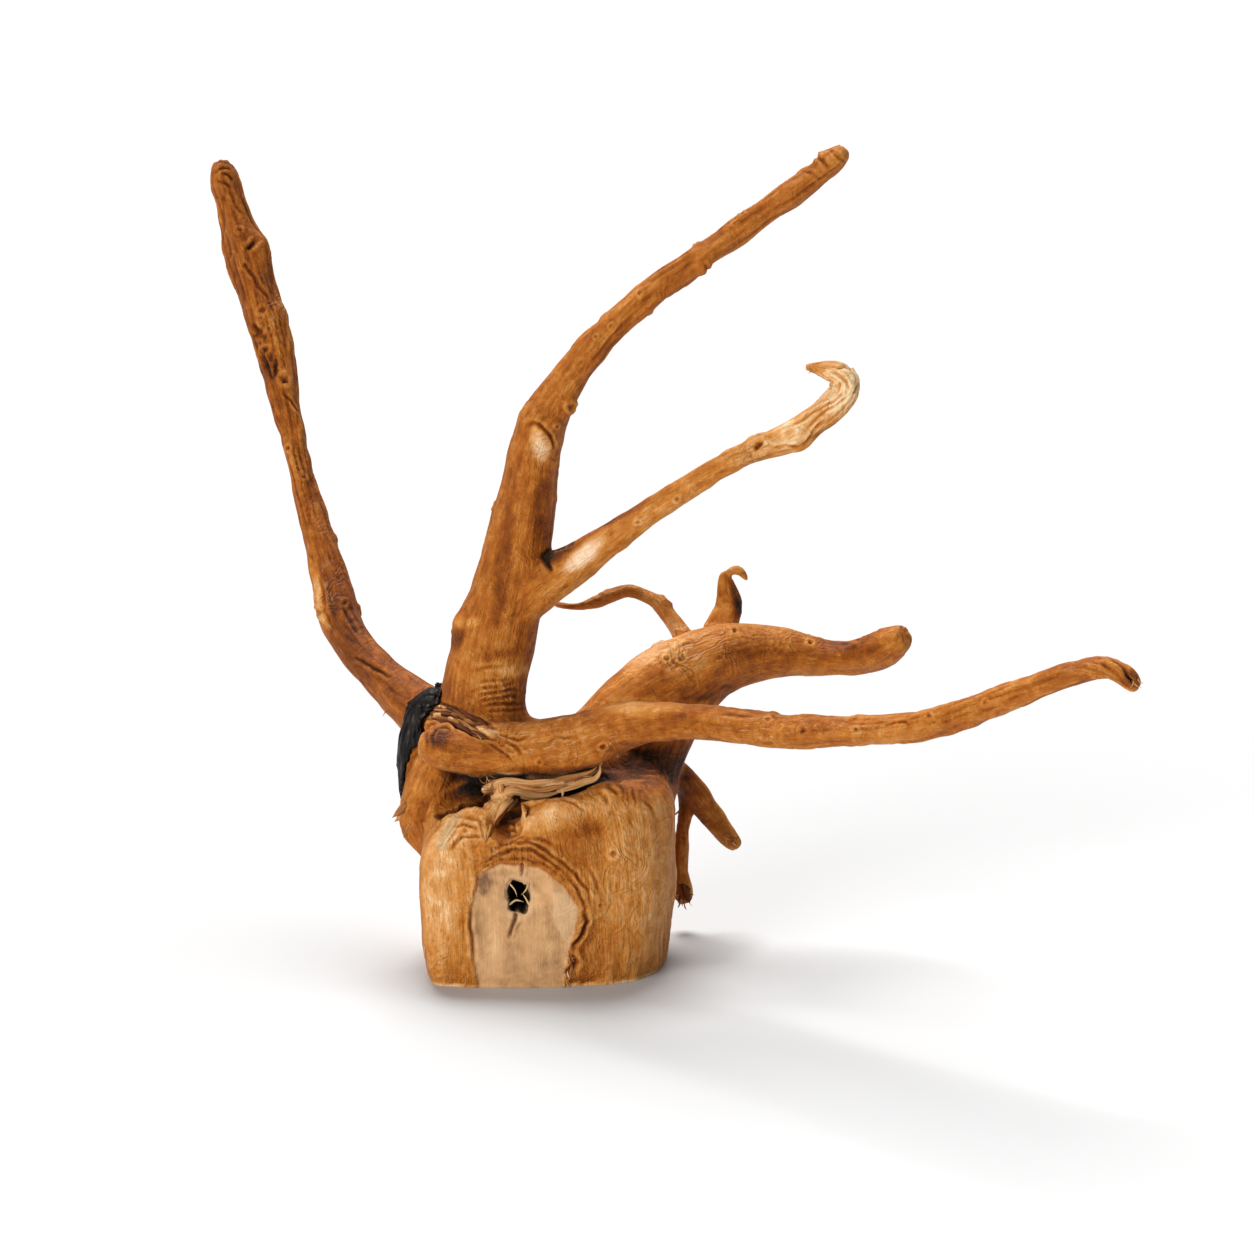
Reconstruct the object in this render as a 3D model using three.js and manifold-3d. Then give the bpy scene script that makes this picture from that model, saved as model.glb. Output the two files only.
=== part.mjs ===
import * as THREE from "three";
import { mergeVertices } from "three/addons/utils/BufferGeometryUtils.js";
import Module from "manifold-3d";

const wasm = await Module();
wasm.setup();

// Spiderwood root: the short stump of a shrub, sawn flat underneath, with its roots standing up and
// out like a spider's legs. It grew as one piece, so it is one solid.
// Millimetres, +Z up, +X to the right of the front, +Y to the back. The origin is the middle of the
// sawn base, and the highest root ends at overallHeight.

const overallHeight = 240;
const stump = {
  frontHeight: 54.5, // of the lip along the front
  backHeight: 62, // where the stump runs up into its crown
  waistHeight: 30,
  widening: 0.085, // how much wider the waist is than the sawn base
  wallShare: 0.66, // share of the rings that stand in the wall, the others round over the top
  shoulderHeight: 0.17, // of the rounded top edge, as a share of the height
  shoulderDepth: 0.24, // how far that edge runs in, as a share of the plan
  sides: 56,
  rings: 18,
};
// The front left corner of the stump is lower and rounded off far more than the rest.
const wornCorner = { plan: -2.45, spread: 0.5, drop: 3, extraHeight: 0.24, extraDepth: 0.4 };
// Along the front the top edge is sharper, and the lip stands highest at the right of the cleft.
const sharpFront = { lessHeight: 0.07, lessDepth: 0.12 };
const highLip = { plan: -0.98, spread: 0.26, rise: 3.6 };
// Shallow flutes run up the stump and turn a little on their way.
const flutes = { count: 7, depth: 0.012, turnHeight: 20 };

// The outline of the sawn base seen from above, [x, y], from the right hand side round by the back.
// The front is nearly flat and its left corner is the sharp one.
const sawnOutline = [
  [33, 4],
  [27, 21],
  [8, 29],
  [-14, 28],
  [-29, 19],
  [-33.5, 0],
  [-33.5, -24],
  [-32, -29.5],
  [-27, -31],
  [-10, -31.5],
  [8, -31],
  [23, -26.5],
  [32, -14],
];

const knotHole = { x: -8.5, z: 27.5, width: 6.6, height: 10.5, outside: -44, depth: 24, narrowing: 0.4 };
// The collar of wood that grew round the scar of the old branch, open towards the base.
const knotCollar = { x: -6.5, z: 19, radius: 17, rise: 1.3, width: 5 };

// Each root has a course of stations [x, y, z, radius] along its middle, from the stump to its tip.
// sides is how many faces go round it, step is the distance between two rings, wobble is how far
// its section departs from a circle, and flat squeezes it to a share of its width along a direction.
const roots = {
  left: {
    sides: 13,
    step: 5.2,
    wobble: 0.06,
    course: [
      [-20, 9, 59, 12],
      [-37, 18, 69, 9],
      [-49.5, 29, 77, 6.3],
      [-61, 43, 87.5, 6],
      [-65.5, 52, 98, 5.9],
      [-73, 67, 120, 4.2],
      [-78, 77, 137, 4],
      [-82.5, 85, 154, 5.3],
      [-87.5, 94, 174, 6.3],
      [-91, 98, 184, 6],
      [-94.5, 102, 195.5, 6.4],
      [-96.8, 103.5, 202, 4.8],
      [-101, 108, 217, 4.4],
      [-102.8, 109, 223, 3.6],
    ],
  },
  branch: {
    sides: 12,
    step: 3.4,
    wobble: 0.05,
    course: [
      [-11, 7, 102, 6.5],
      [0, 3, 112.3, 7],
      [14.8, -3, 123.8, 4.9],
      [29, -9, 134.8, 3.5],
      [54.5, -18, 152.3, 3.5],
      [67, -21, 157.8, 4.1],
      [75, -22, 163, 4.4],
      [84, -23, 171.3, 4.6],
      [85, -23, 176, 4.2],
      [79, -22, 178, 2.6],
      [72.5, -20, 178.4, 1.5],
    ],
  },
  front: {
    sides: 13,
    step: 5,
    wobble: 0.05,
    course: [
      [-37.4, -12, 67, 4.6],
      [-34.5, -12, 66.6, 6.6],
      [-27, -12, 66, 7.8],
      [-12, -14, 65.5, 8.2],
      [7.7, -19, 69.5, 8],
      [24, -28, 77, 6.5],
      [41, -41, 80.6, 5.1],
      [67.5, -68, 84.2, 4.9],
      [87, -87, 89.2, 3.9],
      [104, -104, 95, 4],
      [128.5, -123, 108.6, 3.6],
      [143, -131, 116, 3.1],
      [149.5, -134, 116.6, 3],
      [155.2, -136.5, 112, 2.5],
    ],
  },
  thick: {
    sides: 15,
    step: 5.4,
    wobble: 0.04,
    course: [
      [0, 12, 50, 9],
      [10, 13, 61, 8.6],
      [20, 14, 70, 9.6],
      [31, 16, 77.5, 10.8],
      [48.5, 20, 84.6, 10.4],
      [66.5, 24, 86.6, 7.7],
      [83.3, 24, 84.8, 5.3],
      [94, 17, 87.2, 5.6],
      [103.5, 7.5, 94.8, 5.4],
    ],
  },
  curl: {
    sides: 8,
    step: 3.4,
    wobble: 0.08,
    course: [
      [46, 24, 78, 4],
      [39, 34, 89.6, 3],
      [32, 39, 97.8, 2.6],
      [23, 42, 101.4, 2.1],
      [14, 43, 98, 1.9],
      [8, 43, 96.2, 1.6],
      [0, 43, 97.4, 1],
    ],
  },
  stub: {
    sides: 10,
    step: 3,
    wobble: 0.08,
    course: [
      [46, 22, 82, 6],
      [50.8, 30, 92.5, 4.6],
      [52.6, 32, 98, 4.1],
      [52, 33, 103, 2.7],
      [51.6, 33, 109, 2.2],
    ],
  },
  hook: {
    sides: 8,
    step: 2,
    wobble: 0.05,
    course: [
      [51.6, 33, 105, 2],
      [53, 32.5, 109.2, 1.7],
      [56.4, 31, 109.3, 1.4],
      [58.2, 31, 107, 0.9],
    ],
  },
  slab: {
    sides: 10,
    step: 3.6,
    wobble: 0.06,
    flat: { share: 0.6, along: [0.2, 1, 0.2] },
    course: [
      [26, 18, 60, 6],
      [36, 24, 52, 3.4],
      [44.5, 30, 40.2, 4.2],
      [51.2, 31, 30.4, 3.2],
      [55.5, 31, 25, 2.3],
    ],
  },
  hanging: {
    sides: 8,
    step: 3.2,
    wobble: 0.08,
    course: [
      [27, 20, 52, 4],
      [38, 29, 45.5, 2],
      [40.3, 31, 39, 1.9],
      [38.8, 30, 28, 2.3],
      [38.4, 29, 18, 2.4],
      [40, 28, 8.4, 3.5],
    ],
  },
  flange: {
    sides: 12,
    step: 4,
    wobble: 0.08,
    flat: { share: 0.75, along: [0.3, 1, 0.2] },
    course: [
      [-31, -3, 62, 8],
      [-35.5, -3, 51, 7.5],
      [-38.5, -3, 42.5, 6.3],
      [-34.5, -7, 35, 4.2],
      [-31, -9, 28, 2.4],
    ],
  },
  broken: {
    sides: 12,
    step: 4.5,
    wobble: 0.08,
    course: [
      [-35.5, -1, 68, 5.5],
      [-29, -2, 70, 6.8],
      [-19, -4, 69, 6.6],
      [-8, -8, 66, 6],
    ],
  },
  bark: {
    sides: 10,
    step: 3.6,
    wobble: 0.1,
    flat: { share: 0.7, along: [1, -0.4, 0] },
    course: [
      [-30.5, 6, 77, 4],
      [-36, 6, 72.5, 6],
      [-38.3, 6, 63, 7],
      [-39, 5, 54, 5.6],
      [-41, 5, 45.5, 2.2],
    ],
  },
  tongue: {
    sides: 8,
    step: 3,
    wobble: 0.12,
    flat: { share: 0.7, along: [0, 1, 0.3] },
    course: [
      [-18.6, -22, 56.2, 1.8],
      [-15, -22, 56.6, 3],
      [-6, -21, 56.6, 2.8],
      [2, -20, 57.2, 2.6],
      [9, -19, 58.8, 2.3],
      [13, -19, 62.4, 2.1],
      [14, -20, 68, 2.1],
    ],
  },
  flake: {
    sides: 8,
    step: 2.6,
    wobble: 0.1,
    flat: { share: 0.55, along: [0.5, 1, 0] },
    course: [
      [-19, -27, 46, 3],
      [-16, -25.5, 50, 3.2],
      [-13, -23.5, 53.5, 3],
      [-9, -21.5, 56.5, 2.4],
    ],
  },
};

// What the stump runs up into, behind the front root. These stand before the cleft is cut.
const heart = {
  column: {
    sides: 14,
    step: 6,
    wobble: 0.04,
    course: [
      [23, 6, 6, 8.5],
      [26, 8, 36, 8.6],
      [30, 10, 57, 8.8],
      [36.5, 14, 70, 9],
      [47, 19, 80, 8],
      [58, 22, 85.5, 5],
    ],
  },
  crown: {
    sides: 16,
    step: 6,
    wobble: 0.04,
    course: [
      [-32, 6, 63, 9],
      [-20, 3, 60, 12],
      [-4, 3, 59, 12.3],
      [10, 6, 56, 12],
      [22, 8, 52, 11],
      [31, 11, 46, 8],
    ],
  },
  upright: {
    sides: 15,
    step: 5.6,
    wobble: 0.03,
    course: [
      [-14, 6, 46, 16],
      [-18.5, 5, 62, 14],
      [-19.3, 6, 80, 12.2],
      [-15, 8, 98, 11.5],
      [-9.7, 8, 117.5, 9.8],
      [-5.6, 7, 139, 8.4],
      [-3.2, 5, 154, 7.4],
      [4.8, 2, 170.2, 5.3],
      [18.8, 0, 187.6, 4.2],
      [35.5, -1, 201.6, 3.9],
      [56, -2, 216, 3.4],
      [76, -2, 230.6, 3.7],
      [84.6, -2, overallHeight - 2, 3.6],
    ],
  },
};

// The cleft under the front root, and the notch that breaks through the lip in front of it.
const cleft = {
  sides: 12,
  step: 5,
  wobble: 0.06,
  flat: { share: 0.62, along: [0, 0, 1] },
  course: [
    [-35, -14, 50, 5],
    [-27, -16, 51, 10],
    [-10, -16.5, 52.5, 10.4],
    [6, -16, 55, 9.8],
    [15, -13, 58.5, 8],
    [20, -9, 62, 5],
  ],
};
const notch = {
  sides: 10,
  step: 4,
  wobble: 0.06,
  course: [
    [-11.5, -14, 54, 4.5],
    [-12, -26, 51, 4.8],
    [-13.5, -40, 47, 4.6],
  ],
};

// Low swellings and hollows on the surface: [x, y, z, rise, reach].
const swellings = [
  [-29, 4, 98.5, 2.2, 4.5],
  [-3.5, -3, 151, -0.9, 4.5],
  [-2, -4, 157.5, 1.2, 4],
  [40.5, -2, 198.5, 1.6, 3],
  [8, -4, 164, 1.4, 4],
  [-91, 92, 176, 1.2, 5],
  [-66, 46, 92, 1, 5],
  [73, -22, 155, 1.2, 4],
  [56.5, 31, 98.5, 2.4, 3],
  [-28, -24, 12, 1.6, 14],
  [26, -14, 30, 1.8, 15],
  [9, -30, 12, -2.2, 7],
  [-8, -30, 40, 1.8, 8],
  [-10, 33, 30, -2.4, 10],
  [20, 27, 18, 1.8, 10],
  [-30, 14, 16, -1.6, 9],
  [-45, -3, 41, 2, 3.2],
];

function swellingAt(spot) {
  let sum = 0;
  for (const [x, y, z, rise, reach] of swellings) {
    const away = Math.hypot(spot.x - x, spot.y - y, spot.z - z);
    sum += rise * Math.exp(-((away / reach) ** 2));
  }
  return sum;
}

// The solid inside a closed surface.
function solidInside(surface) {
  surface.deleteAttribute("normal");
  surface.deleteAttribute("uv");
  const merged = mergeVertices(surface, 1e-4);
  return new wasm.Manifold(
    new wasm.Mesh({
      numProp: 3,
      vertProperties: merged.attributes.position.array,
      triVerts: new Uint32Array(merged.index.array),
    }),
  );
}

// A closed tube whose points are set by place(along, angle, spread): along is 0 to 1 from end to
// end, angle goes round, and spread is 1 on the skin and 0 in the middle of an end.
function closedTube(sides, rings, place) {
  const form = new THREE.CylinderGeometry(1, 1, 1, sides, rings);
  const spots = form.attributes.position;
  const local = new THREE.Vector3();
  for (let i = 0; i < spots.count; i++) {
    local.fromBufferAttribute(spots, i);
    const spread = Math.round(Math.hypot(local.x, local.z));
    const placed = place(local.y + 0.5, Math.atan2(local.z, local.x), spread);
    spots.setXYZ(i, placed.x, placed.y, placed.z);
  }
  return solidInside(form);
}

// How far a root's section stands out at an angle, with two and three lobes that turn slowly along it.
function sectionFactor(wobble, angle, distance) {
  const turnLength = 19;
  const turned = distance / turnLength;
  const threeLobeShare = 0.6;
  return 1 + wobble * (Math.cos(2 * angle + turned) + threeLobeShare * Math.cos(3 * angle - turned));
}

function flatten(offset, flat) {
  const along = new THREE.Vector3(...flat.along).normalize();
  return offset.addScaledVector(along, -(1 - flat.share) * offset.dot(along));
}

function growRoot({ course, sides, step, wobble, flat }) {
  const middle = new THREE.CatmullRomCurve3(course.map(([x, y, z]) => new THREE.Vector3(x, y, z)));
  const girth = new THREE.CatmullRomCurve3(course.map(([, , , radius]) => new THREE.Vector3(radius, 0, 0)));
  const length = middle.getLength();
  const rings = Math.round(length / step);
  const frames = middle.computeFrenetFrames(rings, false);
  const endShrink = 0.72; // the last ring is smaller, which blunts the tip
  return closedTube(sides, rings, (along, angle, spread) => {
    const ring = Math.round(along * rings);
    const isEnd = ring === 0 || ring === rings;
    const radius = girth.getPoint(middle.getUtoTmapping(along)).x * (isEnd ? endShrink : 1);
    const outward = new THREE.Vector3()
      .addScaledVector(frames.normals[ring], Math.cos(angle))
      .addScaledVector(frames.binormals[ring], -Math.sin(angle));
    const offset = outward.clone().multiplyScalar(radius * sectionFactor(wobble, angle, along * length));
    if (flat) {
      flatten(offset, flat);
    }
    const spot = middle.getPointAt(along).addScaledVector(offset, spread);
    return spot.addScaledVector(outward, spread * swellingAt(spot));
  });
}

// How far the collar round the old branch scar stands out from the front.
function collarAt(spot) {
  if (spot.y > 0) return 0;
  const away = Math.hypot(spot.x - knotCollar.x, spot.z - knotCollar.z) - knotCollar.radius;
  return knotCollar.rise * Math.exp(-((away / knotCollar.width) ** 2));
}

// The stump from its sawn base to its rounded top.
function growStump() {
  const outline = new THREE.CatmullRomCurve3(sawnOutline.map(([x, y]) => new THREE.Vector3(x, y, 0)), true);
  const middleHeight = (stump.backHeight + stump.frontHeight) / 2;
  const heightSwing = (stump.backHeight - stump.frontHeight) / 2;
  return closedTube(stump.sides, stump.rings, (along, angle, spread) => {
    const rim = outline.getPoint((1 - angle / (2 * Math.PI)) % 1);
    const plan = Math.atan2(rim.y, rim.x);
    const corner = Math.exp(-(((plan - wornCorner.plan) / wornCorner.spread) ** 2));
    const front = Math.max(0, -Math.sin(plan));
    const high = Math.exp(-(((plan - highLip.plan) / highLip.spread) ** 2));
    const top =
      middleHeight + heightSwing * Math.sin(plan) - wornCorner.drop * corner + highLip.rise * high;
    const edge = stump.shoulderHeight - sharpFront.lessHeight * front + wornCorner.extraHeight * corner;
    const inward = stump.shoulderDepth - sharpFront.lessDepth * front + wornCorner.extraDepth * corner;
    const wall = Math.min(1, along / stump.wallShare);
    const bend = (Math.PI / 2) * Math.max(0, (along - stump.wallShare) / (1 - stump.wallShare));
    const z = top * ((1 - edge) * wall + edge * Math.sin(bend));
    const waist = 1 + stump.widening * Math.sin((Math.PI / 2) * Math.min(1, z / stump.waistHeight));
    const fluted = 1 + flutes.depth * Math.cos(flutes.count * plan - z / flutes.turnHeight);
    const spot = rim.multiplyScalar(spread * waist * fluted * (1 - inward * (1 - Math.cos(bend))));
    spot.z = z;
    const outward = new THREE.Vector3(Math.cos(plan), Math.sin(plan), 0);
    return spot.addScaledVector(outward, spread * (swellingAt(spot) + collarAt(spot)));
  });
}

// The hollow heart of the old branch scar on the front, narrower inside.
function knotHoleCut() {
  const sides = 14;
  const rings = 4;
  return closedTube(sides, rings, (along, angle, spread) => {
    const size = spread * (1 - knotHole.narrowing * along);
    return new THREE.Vector3(
      knotHole.x + size * (knotHole.width / 2) * Math.cos(angle),
      knotHole.outside + along * knotHole.depth,
      knotHole.z + size * (knotHole.height / 2) * Math.sin(angle),
    );
  });
}

// All that would reach below the sawn base.
function belowBase() {
  const size = 200;
  return solidInside(new THREE.BoxGeometry(size, size, size).translate(0, 0, -size / 2));
}

function growWhole() {
  let whole = growStump();
  for (const mass of Object.values(heart)) {
    whole = whole.add(growRoot(mass));
  }
  for (const hollow of [growRoot(cleft), growRoot(notch), knotHoleCut()]) {
    whole = whole.subtract(hollow);
  }
  for (const root of Object.values(roots)) {
    whole = whole.add(growRoot(root));
  }
  return whole.subtract(belowBase());
}

function geometryOf(solid) {
  const mesh = solid.getMesh();
  const geometry = new THREE.BufferGeometry();
  geometry.setAttribute("position", new THREE.BufferAttribute(mesh.vertProperties, 3));
  geometry.setIndex(new THREE.BufferAttribute(mesh.triVerts, 1));
  geometry.computeVertexNormals();
  return geometry;
}

const bareWood = new THREE.MeshStandardMaterial({ color: 0xc4813f, roughness: 0.62, metalness: 0 });

const spiderwood = new THREE.Mesh(geometryOf(growWhole()), bareWood);
spiderwood.name = "spiderwood_root";

const part = new THREE.Group();
part.add(spiderwood);

export default part;
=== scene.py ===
# %% [markdown]
# # A piece of bare spiderwood
# Spiderwood is the root stock of a bog shrub: dug up, dried, stripped of its bark and blown clean
# with sand, then sawn flat so that it stands. It grew in one piece, so almost all of it here is one
# skin, and only the dead bark and the loose fibres are pieces of their own.
#
# The solid frame has the right build and size, but flat facets. It could be modelled again by hand,
# yet a copy of that solid already has every root in place. So the copy is rounded, given an even
# mesh, and then carved by formulas, the way a sculptor works on a rough casting.

# %% Load the frame
import itertools
import math
import random

import bmesh
import bpy
import numpy as np
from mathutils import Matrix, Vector
from mathutils.bvhtree import BVHTree


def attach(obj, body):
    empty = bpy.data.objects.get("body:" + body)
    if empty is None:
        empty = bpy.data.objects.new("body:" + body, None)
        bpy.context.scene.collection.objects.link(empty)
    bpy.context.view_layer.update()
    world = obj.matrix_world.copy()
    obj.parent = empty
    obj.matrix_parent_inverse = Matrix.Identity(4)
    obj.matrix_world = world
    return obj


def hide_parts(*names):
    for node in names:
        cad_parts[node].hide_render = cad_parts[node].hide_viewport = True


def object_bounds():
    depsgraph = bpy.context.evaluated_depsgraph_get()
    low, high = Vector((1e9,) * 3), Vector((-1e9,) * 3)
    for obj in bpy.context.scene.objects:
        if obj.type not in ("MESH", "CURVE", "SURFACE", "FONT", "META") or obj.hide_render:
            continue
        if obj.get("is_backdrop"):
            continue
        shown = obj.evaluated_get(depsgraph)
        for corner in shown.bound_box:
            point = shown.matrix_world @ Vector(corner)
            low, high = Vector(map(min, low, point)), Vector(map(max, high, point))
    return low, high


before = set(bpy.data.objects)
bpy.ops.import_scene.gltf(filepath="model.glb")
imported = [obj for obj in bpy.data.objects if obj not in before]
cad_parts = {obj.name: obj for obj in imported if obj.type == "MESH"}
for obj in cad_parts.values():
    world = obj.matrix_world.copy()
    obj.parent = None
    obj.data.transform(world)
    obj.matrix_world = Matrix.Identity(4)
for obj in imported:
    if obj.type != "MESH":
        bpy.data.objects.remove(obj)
cad_low, cad_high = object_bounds()
scene = bpy.context.scene
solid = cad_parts["spiderwood_root"]
print("solid:", len(solid.data.polygons), "triangles, from", cad_low, "to", cad_high)

# %% [markdown]
# ## The camera comes first
# The wood is looked at from a little above, through a long lens, so its roots are hardly
# foreshortened. The camera could be placed by eye at the end. It is set up first, because knots,
# folds and cracks are then written down where they are seen, and every point of the skin can be
# asked where it lies in the picture.

# %% Set up the camera
MM = 0.001
PICTURE = 1254
FAR_END_M = 10
FOCAL_PX = 4482.0
SENSOR = 36.0
EYE_TILT = math.radians(12)
EYE_DISTANCE = 1300.0
AIM = np.array([22.62, 0.0, 99.21])
EYE_BACK = np.array([0.0, -math.cos(EYE_TILT), math.sin(EYE_TILT)])
EYE_UP = np.array([0.0, math.sin(EYE_TILT), math.cos(EYE_TILT)])


def in_picture(spots):
    """Column and row in the picture for spots in mm, and how far each is from the eye."""
    seen_from = spots - AIM
    depth = EYE_DISTANCE - seen_from @ EYE_BACK
    column = PICTURE / 2 + FOCAL_PX * seen_from[:, 0] / depth
    row = PICTURE / 2 - FOCAL_PX * (seen_from @ EYE_UP) / depth
    return np.stack([column, row], axis=1), depth


camera = bpy.data.objects.new("camera", bpy.data.cameras.new("camera"))
scene.collection.objects.link(camera)
camera.location = (AIM + EYE_BACK * EYE_DISTANCE) * MM
camera.rotation_euler = (math.pi / 2 - EYE_TILT, 0, 0)
camera.data.sensor_width = SENSOR
camera.data.lens = FOCAL_PX * SENSOR / PICTURE
camera.data.clip_end = FAR_END_M
scene.camera = camera
MM_PER_PX = EYE_DISTANCE / FOCAL_PX
print("lens", round(camera.data.lens, 2), "mm; one pixel is", round(MM_PER_PX, 3), "mm of wood")

# %% [markdown]
# ## Numbers for every point of the skin
# A carved surface is a long list of points with a few numbers each. Looping over them in Python is
# slow, so the points are read into arrays, worked on all at once and written back.

# %% Read and write the points of a mesh


def spots_of(mesh):
    """The points of a mesh in mm, one row each."""
    flat = np.empty(len(mesh.vertices) * 3, np.float32)
    mesh.vertices.foreach_get("co", flat)
    return flat.reshape(-1, 3).astype(float) / MM


def put_spots(mesh, spots):
    """Moves the points of a mesh to these spots in mm."""
    mesh.vertices.foreach_set("co", (spots * MM).astype(np.float32).ravel())
    mesh.update()


def normals_of(mesh):
    """The way out of the wood at each point."""
    flat = np.empty(len(mesh.vertices) * 3, np.float32)
    mesh.vertex_normals.foreach_get("vector", flat)
    return flat.reshape(-1, 3).astype(float)


def mesh_of(work, name):
    """What a bmesh has worked out, as a mesh."""
    mesh = bpy.data.meshes.new(name)
    work.to_mesh(mesh)
    work.free()
    return mesh


def smooth_step(value, start, end):
    """0 before start, 1 after end and an even slope between."""
    part = np.clip((value - start) / (end - start), 0, 1)
    return part * part * (3 - 2 * part)


def bell(away, width):
    """1 at 0, falling off softly on both sides."""
    return np.exp(-((away / width) ** 2))


# %% [markdown]
# ## Noise that follows the wood
# Wood is never even, but its unevenness has a size and a direction. Noise built from a grid of fixed
# random numbers gives the same result on every run, and stretching the grid along a root gives
# streaks that run with the grain.

# %% Noise on arrays
TABLE_SIZE = 64
TABLE_SEED = 7
TABLE = np.random.default_rng(TABLE_SEED).uniform(-1, 1, (TABLE_SIZE, TABLE_SIZE, TABLE_SIZE))
SEED_SHIFT = np.array([5.31, 11.73, 19.17])


def noise(spots, seed, octaves=1):
    """Smooth noise from about -1 to 1, with finer layers at half the size and strength."""
    total = np.zeros(len(spots))
    for octave in range(octaves):
        scaled = spots * 2**octave + (seed + octave) * SEED_SHIFT
        cell = np.floor(scaled).astype(np.int64)
        part = scaled - cell
        part = part * part * (3 - 2 * part)
        share = 1 - part, part
        index = cell % TABLE_SIZE, (cell + 1) % TABLE_SIZE
        for i, j, k in itertools.product((0, 1), repeat=3):
            value = TABLE[index[i][:, 0], index[j][:, 1], index[k][:, 2]]
            total += value * share[i][:, 0] * share[j][:, 1] * share[k][:, 2] / 2**octave
    return total


def drift(spots, seeds, octaves=1):
    """Noises side by side, to shift spots by."""
    return np.stack([noise(spots, seed, octaves) for seed in seeds], axis=1)


# %% [markdown]
# ## Where the roots run
# Each root is a bent line with a thickness. The lines are repeated from the solid's own plan, as
# stations along the middle: x, y, z and radius in millimetres. They don't make the shape, which the
# solid already has. They only say which way the grain runs at each point.

# %% The courses of the roots
COURSES = {
    "stump": [(-1, 0, -40, 34), (-1, 0, 0, 34), (-1, -2, 30, 35), (-4, 0, 48, 28)],
    "crown": [(-32, 6, 63, 9), (-20, 3, 60, 12), (-4, 3, 59, 12), (10, 6, 56, 12), (31, 11, 46, 8)],
    "column": [(23, 6, 6, 8), (26, 8, 36, 9), (30, 10, 57, 9), (36, 14, 70, 9), (47, 19, 80, 8)],
    "upright": [
        (-14, 6, 46, 16), (-18, 5, 62, 14), (-19, 6, 80, 12), (-15, 8, 98, 11.5), (-10, 8, 117, 10),
        (-6, 7, 139, 8.4), (-3, 5, 154, 7.4), (5, 2, 170, 5.3), (19, 0, 188, 4.2), (35, -1, 202, 4),
        (56, -2, 216, 3.4), (76, -2, 231, 3.7), (85, -2, 238, 3.6),
    ],
    "left": [
        (-20, 9, 59, 12), (-37, 18, 69, 9), (-49, 29, 77, 6.3), (-61, 43, 87, 6), (-65, 52, 98, 6),
        (-73, 67, 120, 4.2), (-78, 77, 137, 4), (-82, 85, 154, 5.3), (-87, 94, 174, 6.3),
        (-94, 102, 195, 6.4), (-97, 104, 202, 4.8), (-103, 109, 223, 3.6),
    ],
    "branch": [
        (-11, 7, 102, 6.5), (0, 3, 112, 7), (15, -3, 124, 5), (29, -9, 135, 3.5), (54, -18, 152, 3.5),
        (67, -21, 158, 4.1), (75, -22, 163, 4.4), (84, -23, 171, 4.6), (85, -23, 176, 4.2),
        (79, -22, 178, 2.6), (72, -20, 178, 1.5),
    ],
    "front": [
        (-37, -12, 67, 4.6), (-34, -12, 67, 6.6), (-27, -12, 66, 7.8), (-12, -14, 65, 8.2), (8, -19, 69, 8),
        (24, -28, 77, 6.5), (41, -41, 81, 5.1), (67, -68, 84, 4.9), (87, -87, 89, 3.9),
        (104, -104, 95, 4), (128, -123, 109, 3.6), (143, -131, 116, 3.1), (155, -136, 112, 2.5),
    ],
    "thick": [
        (0, 12, 50, 9), (10, 13, 61, 8.6), (20, 14, 70, 9.6), (31, 16, 77, 11), (48, 20, 85, 10),
        (66, 24, 87, 7.7), (83, 24, 85, 5.3), (94, 17, 87, 5.6), (103, 7, 95, 5.4),
    ],
    "curl": [(46, 24, 78, 4), (39, 34, 90, 3), (32, 39, 98, 2.6), (23, 42, 101, 2), (0, 43, 97, 1)],
    "stub": [(46, 22, 82, 6), (51, 30, 92, 4.6), (53, 32, 98, 4), (52, 33, 109, 2.2), (58, 31, 108, 1)],
    "slab": [(26, 18, 60, 6), (36, 24, 52, 3.4), (44, 30, 40, 4), (55, 31, 25, 2.3)],
    "hanging": [(27, 20, 52, 4), (38, 29, 45, 2), (39, 30, 28, 2.3), (38, 29, 18, 2.4), (40, 28, 8, 3.5)],
    "flange": [(-31, -3, 62, 8), (-35, -3, 51, 7.5), (-38, -3, 42, 6.3), (-31, -9, 28, 2.4)],
    "bark": [(-30, 6, 77, 4), (-36, 6, 72, 6), (-38, 6, 63, 6), (-39, 5, 54, 5), (-41, 5, 45, 2)],
    "tongue": [(-19, -22, 56, 2), (-15, -22, 57, 3), (2, -20, 57, 2.6), (13, -19, 62, 2), (14, -20, 68, 2)],
    "flake": [(-19, -27, 46, 2), (-16, -25, 50, 2), (-13, -23, 53, 2), (-9, -21, 56, 2)],
}
NAMES = list(COURSES)


def catmull_rom(stations, step):
    """The smooth line through the stations, cut into pieces of about one step."""
    knots = np.array(stations, float)
    knots = np.vstack([2 * knots[0] - knots[1], knots, 2 * knots[-1] - knots[-2]])
    line = []
    for before, start, end, after in zip(knots, knots[1:], knots[2:], knots[3:]):
        count = max(1, round(np.linalg.norm((end - start)[:3]) / step))
        for t in np.arange(count) / count:
            line.append(
                0.5 * (2 * start + (end - before) * t
                       + (2 * before - 5 * start + 4 * end - after) * t**2
                       + (3 * start - before - 3 * end + after) * t**3)
            )
    return np.array(line + [knots[-2]])


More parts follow.
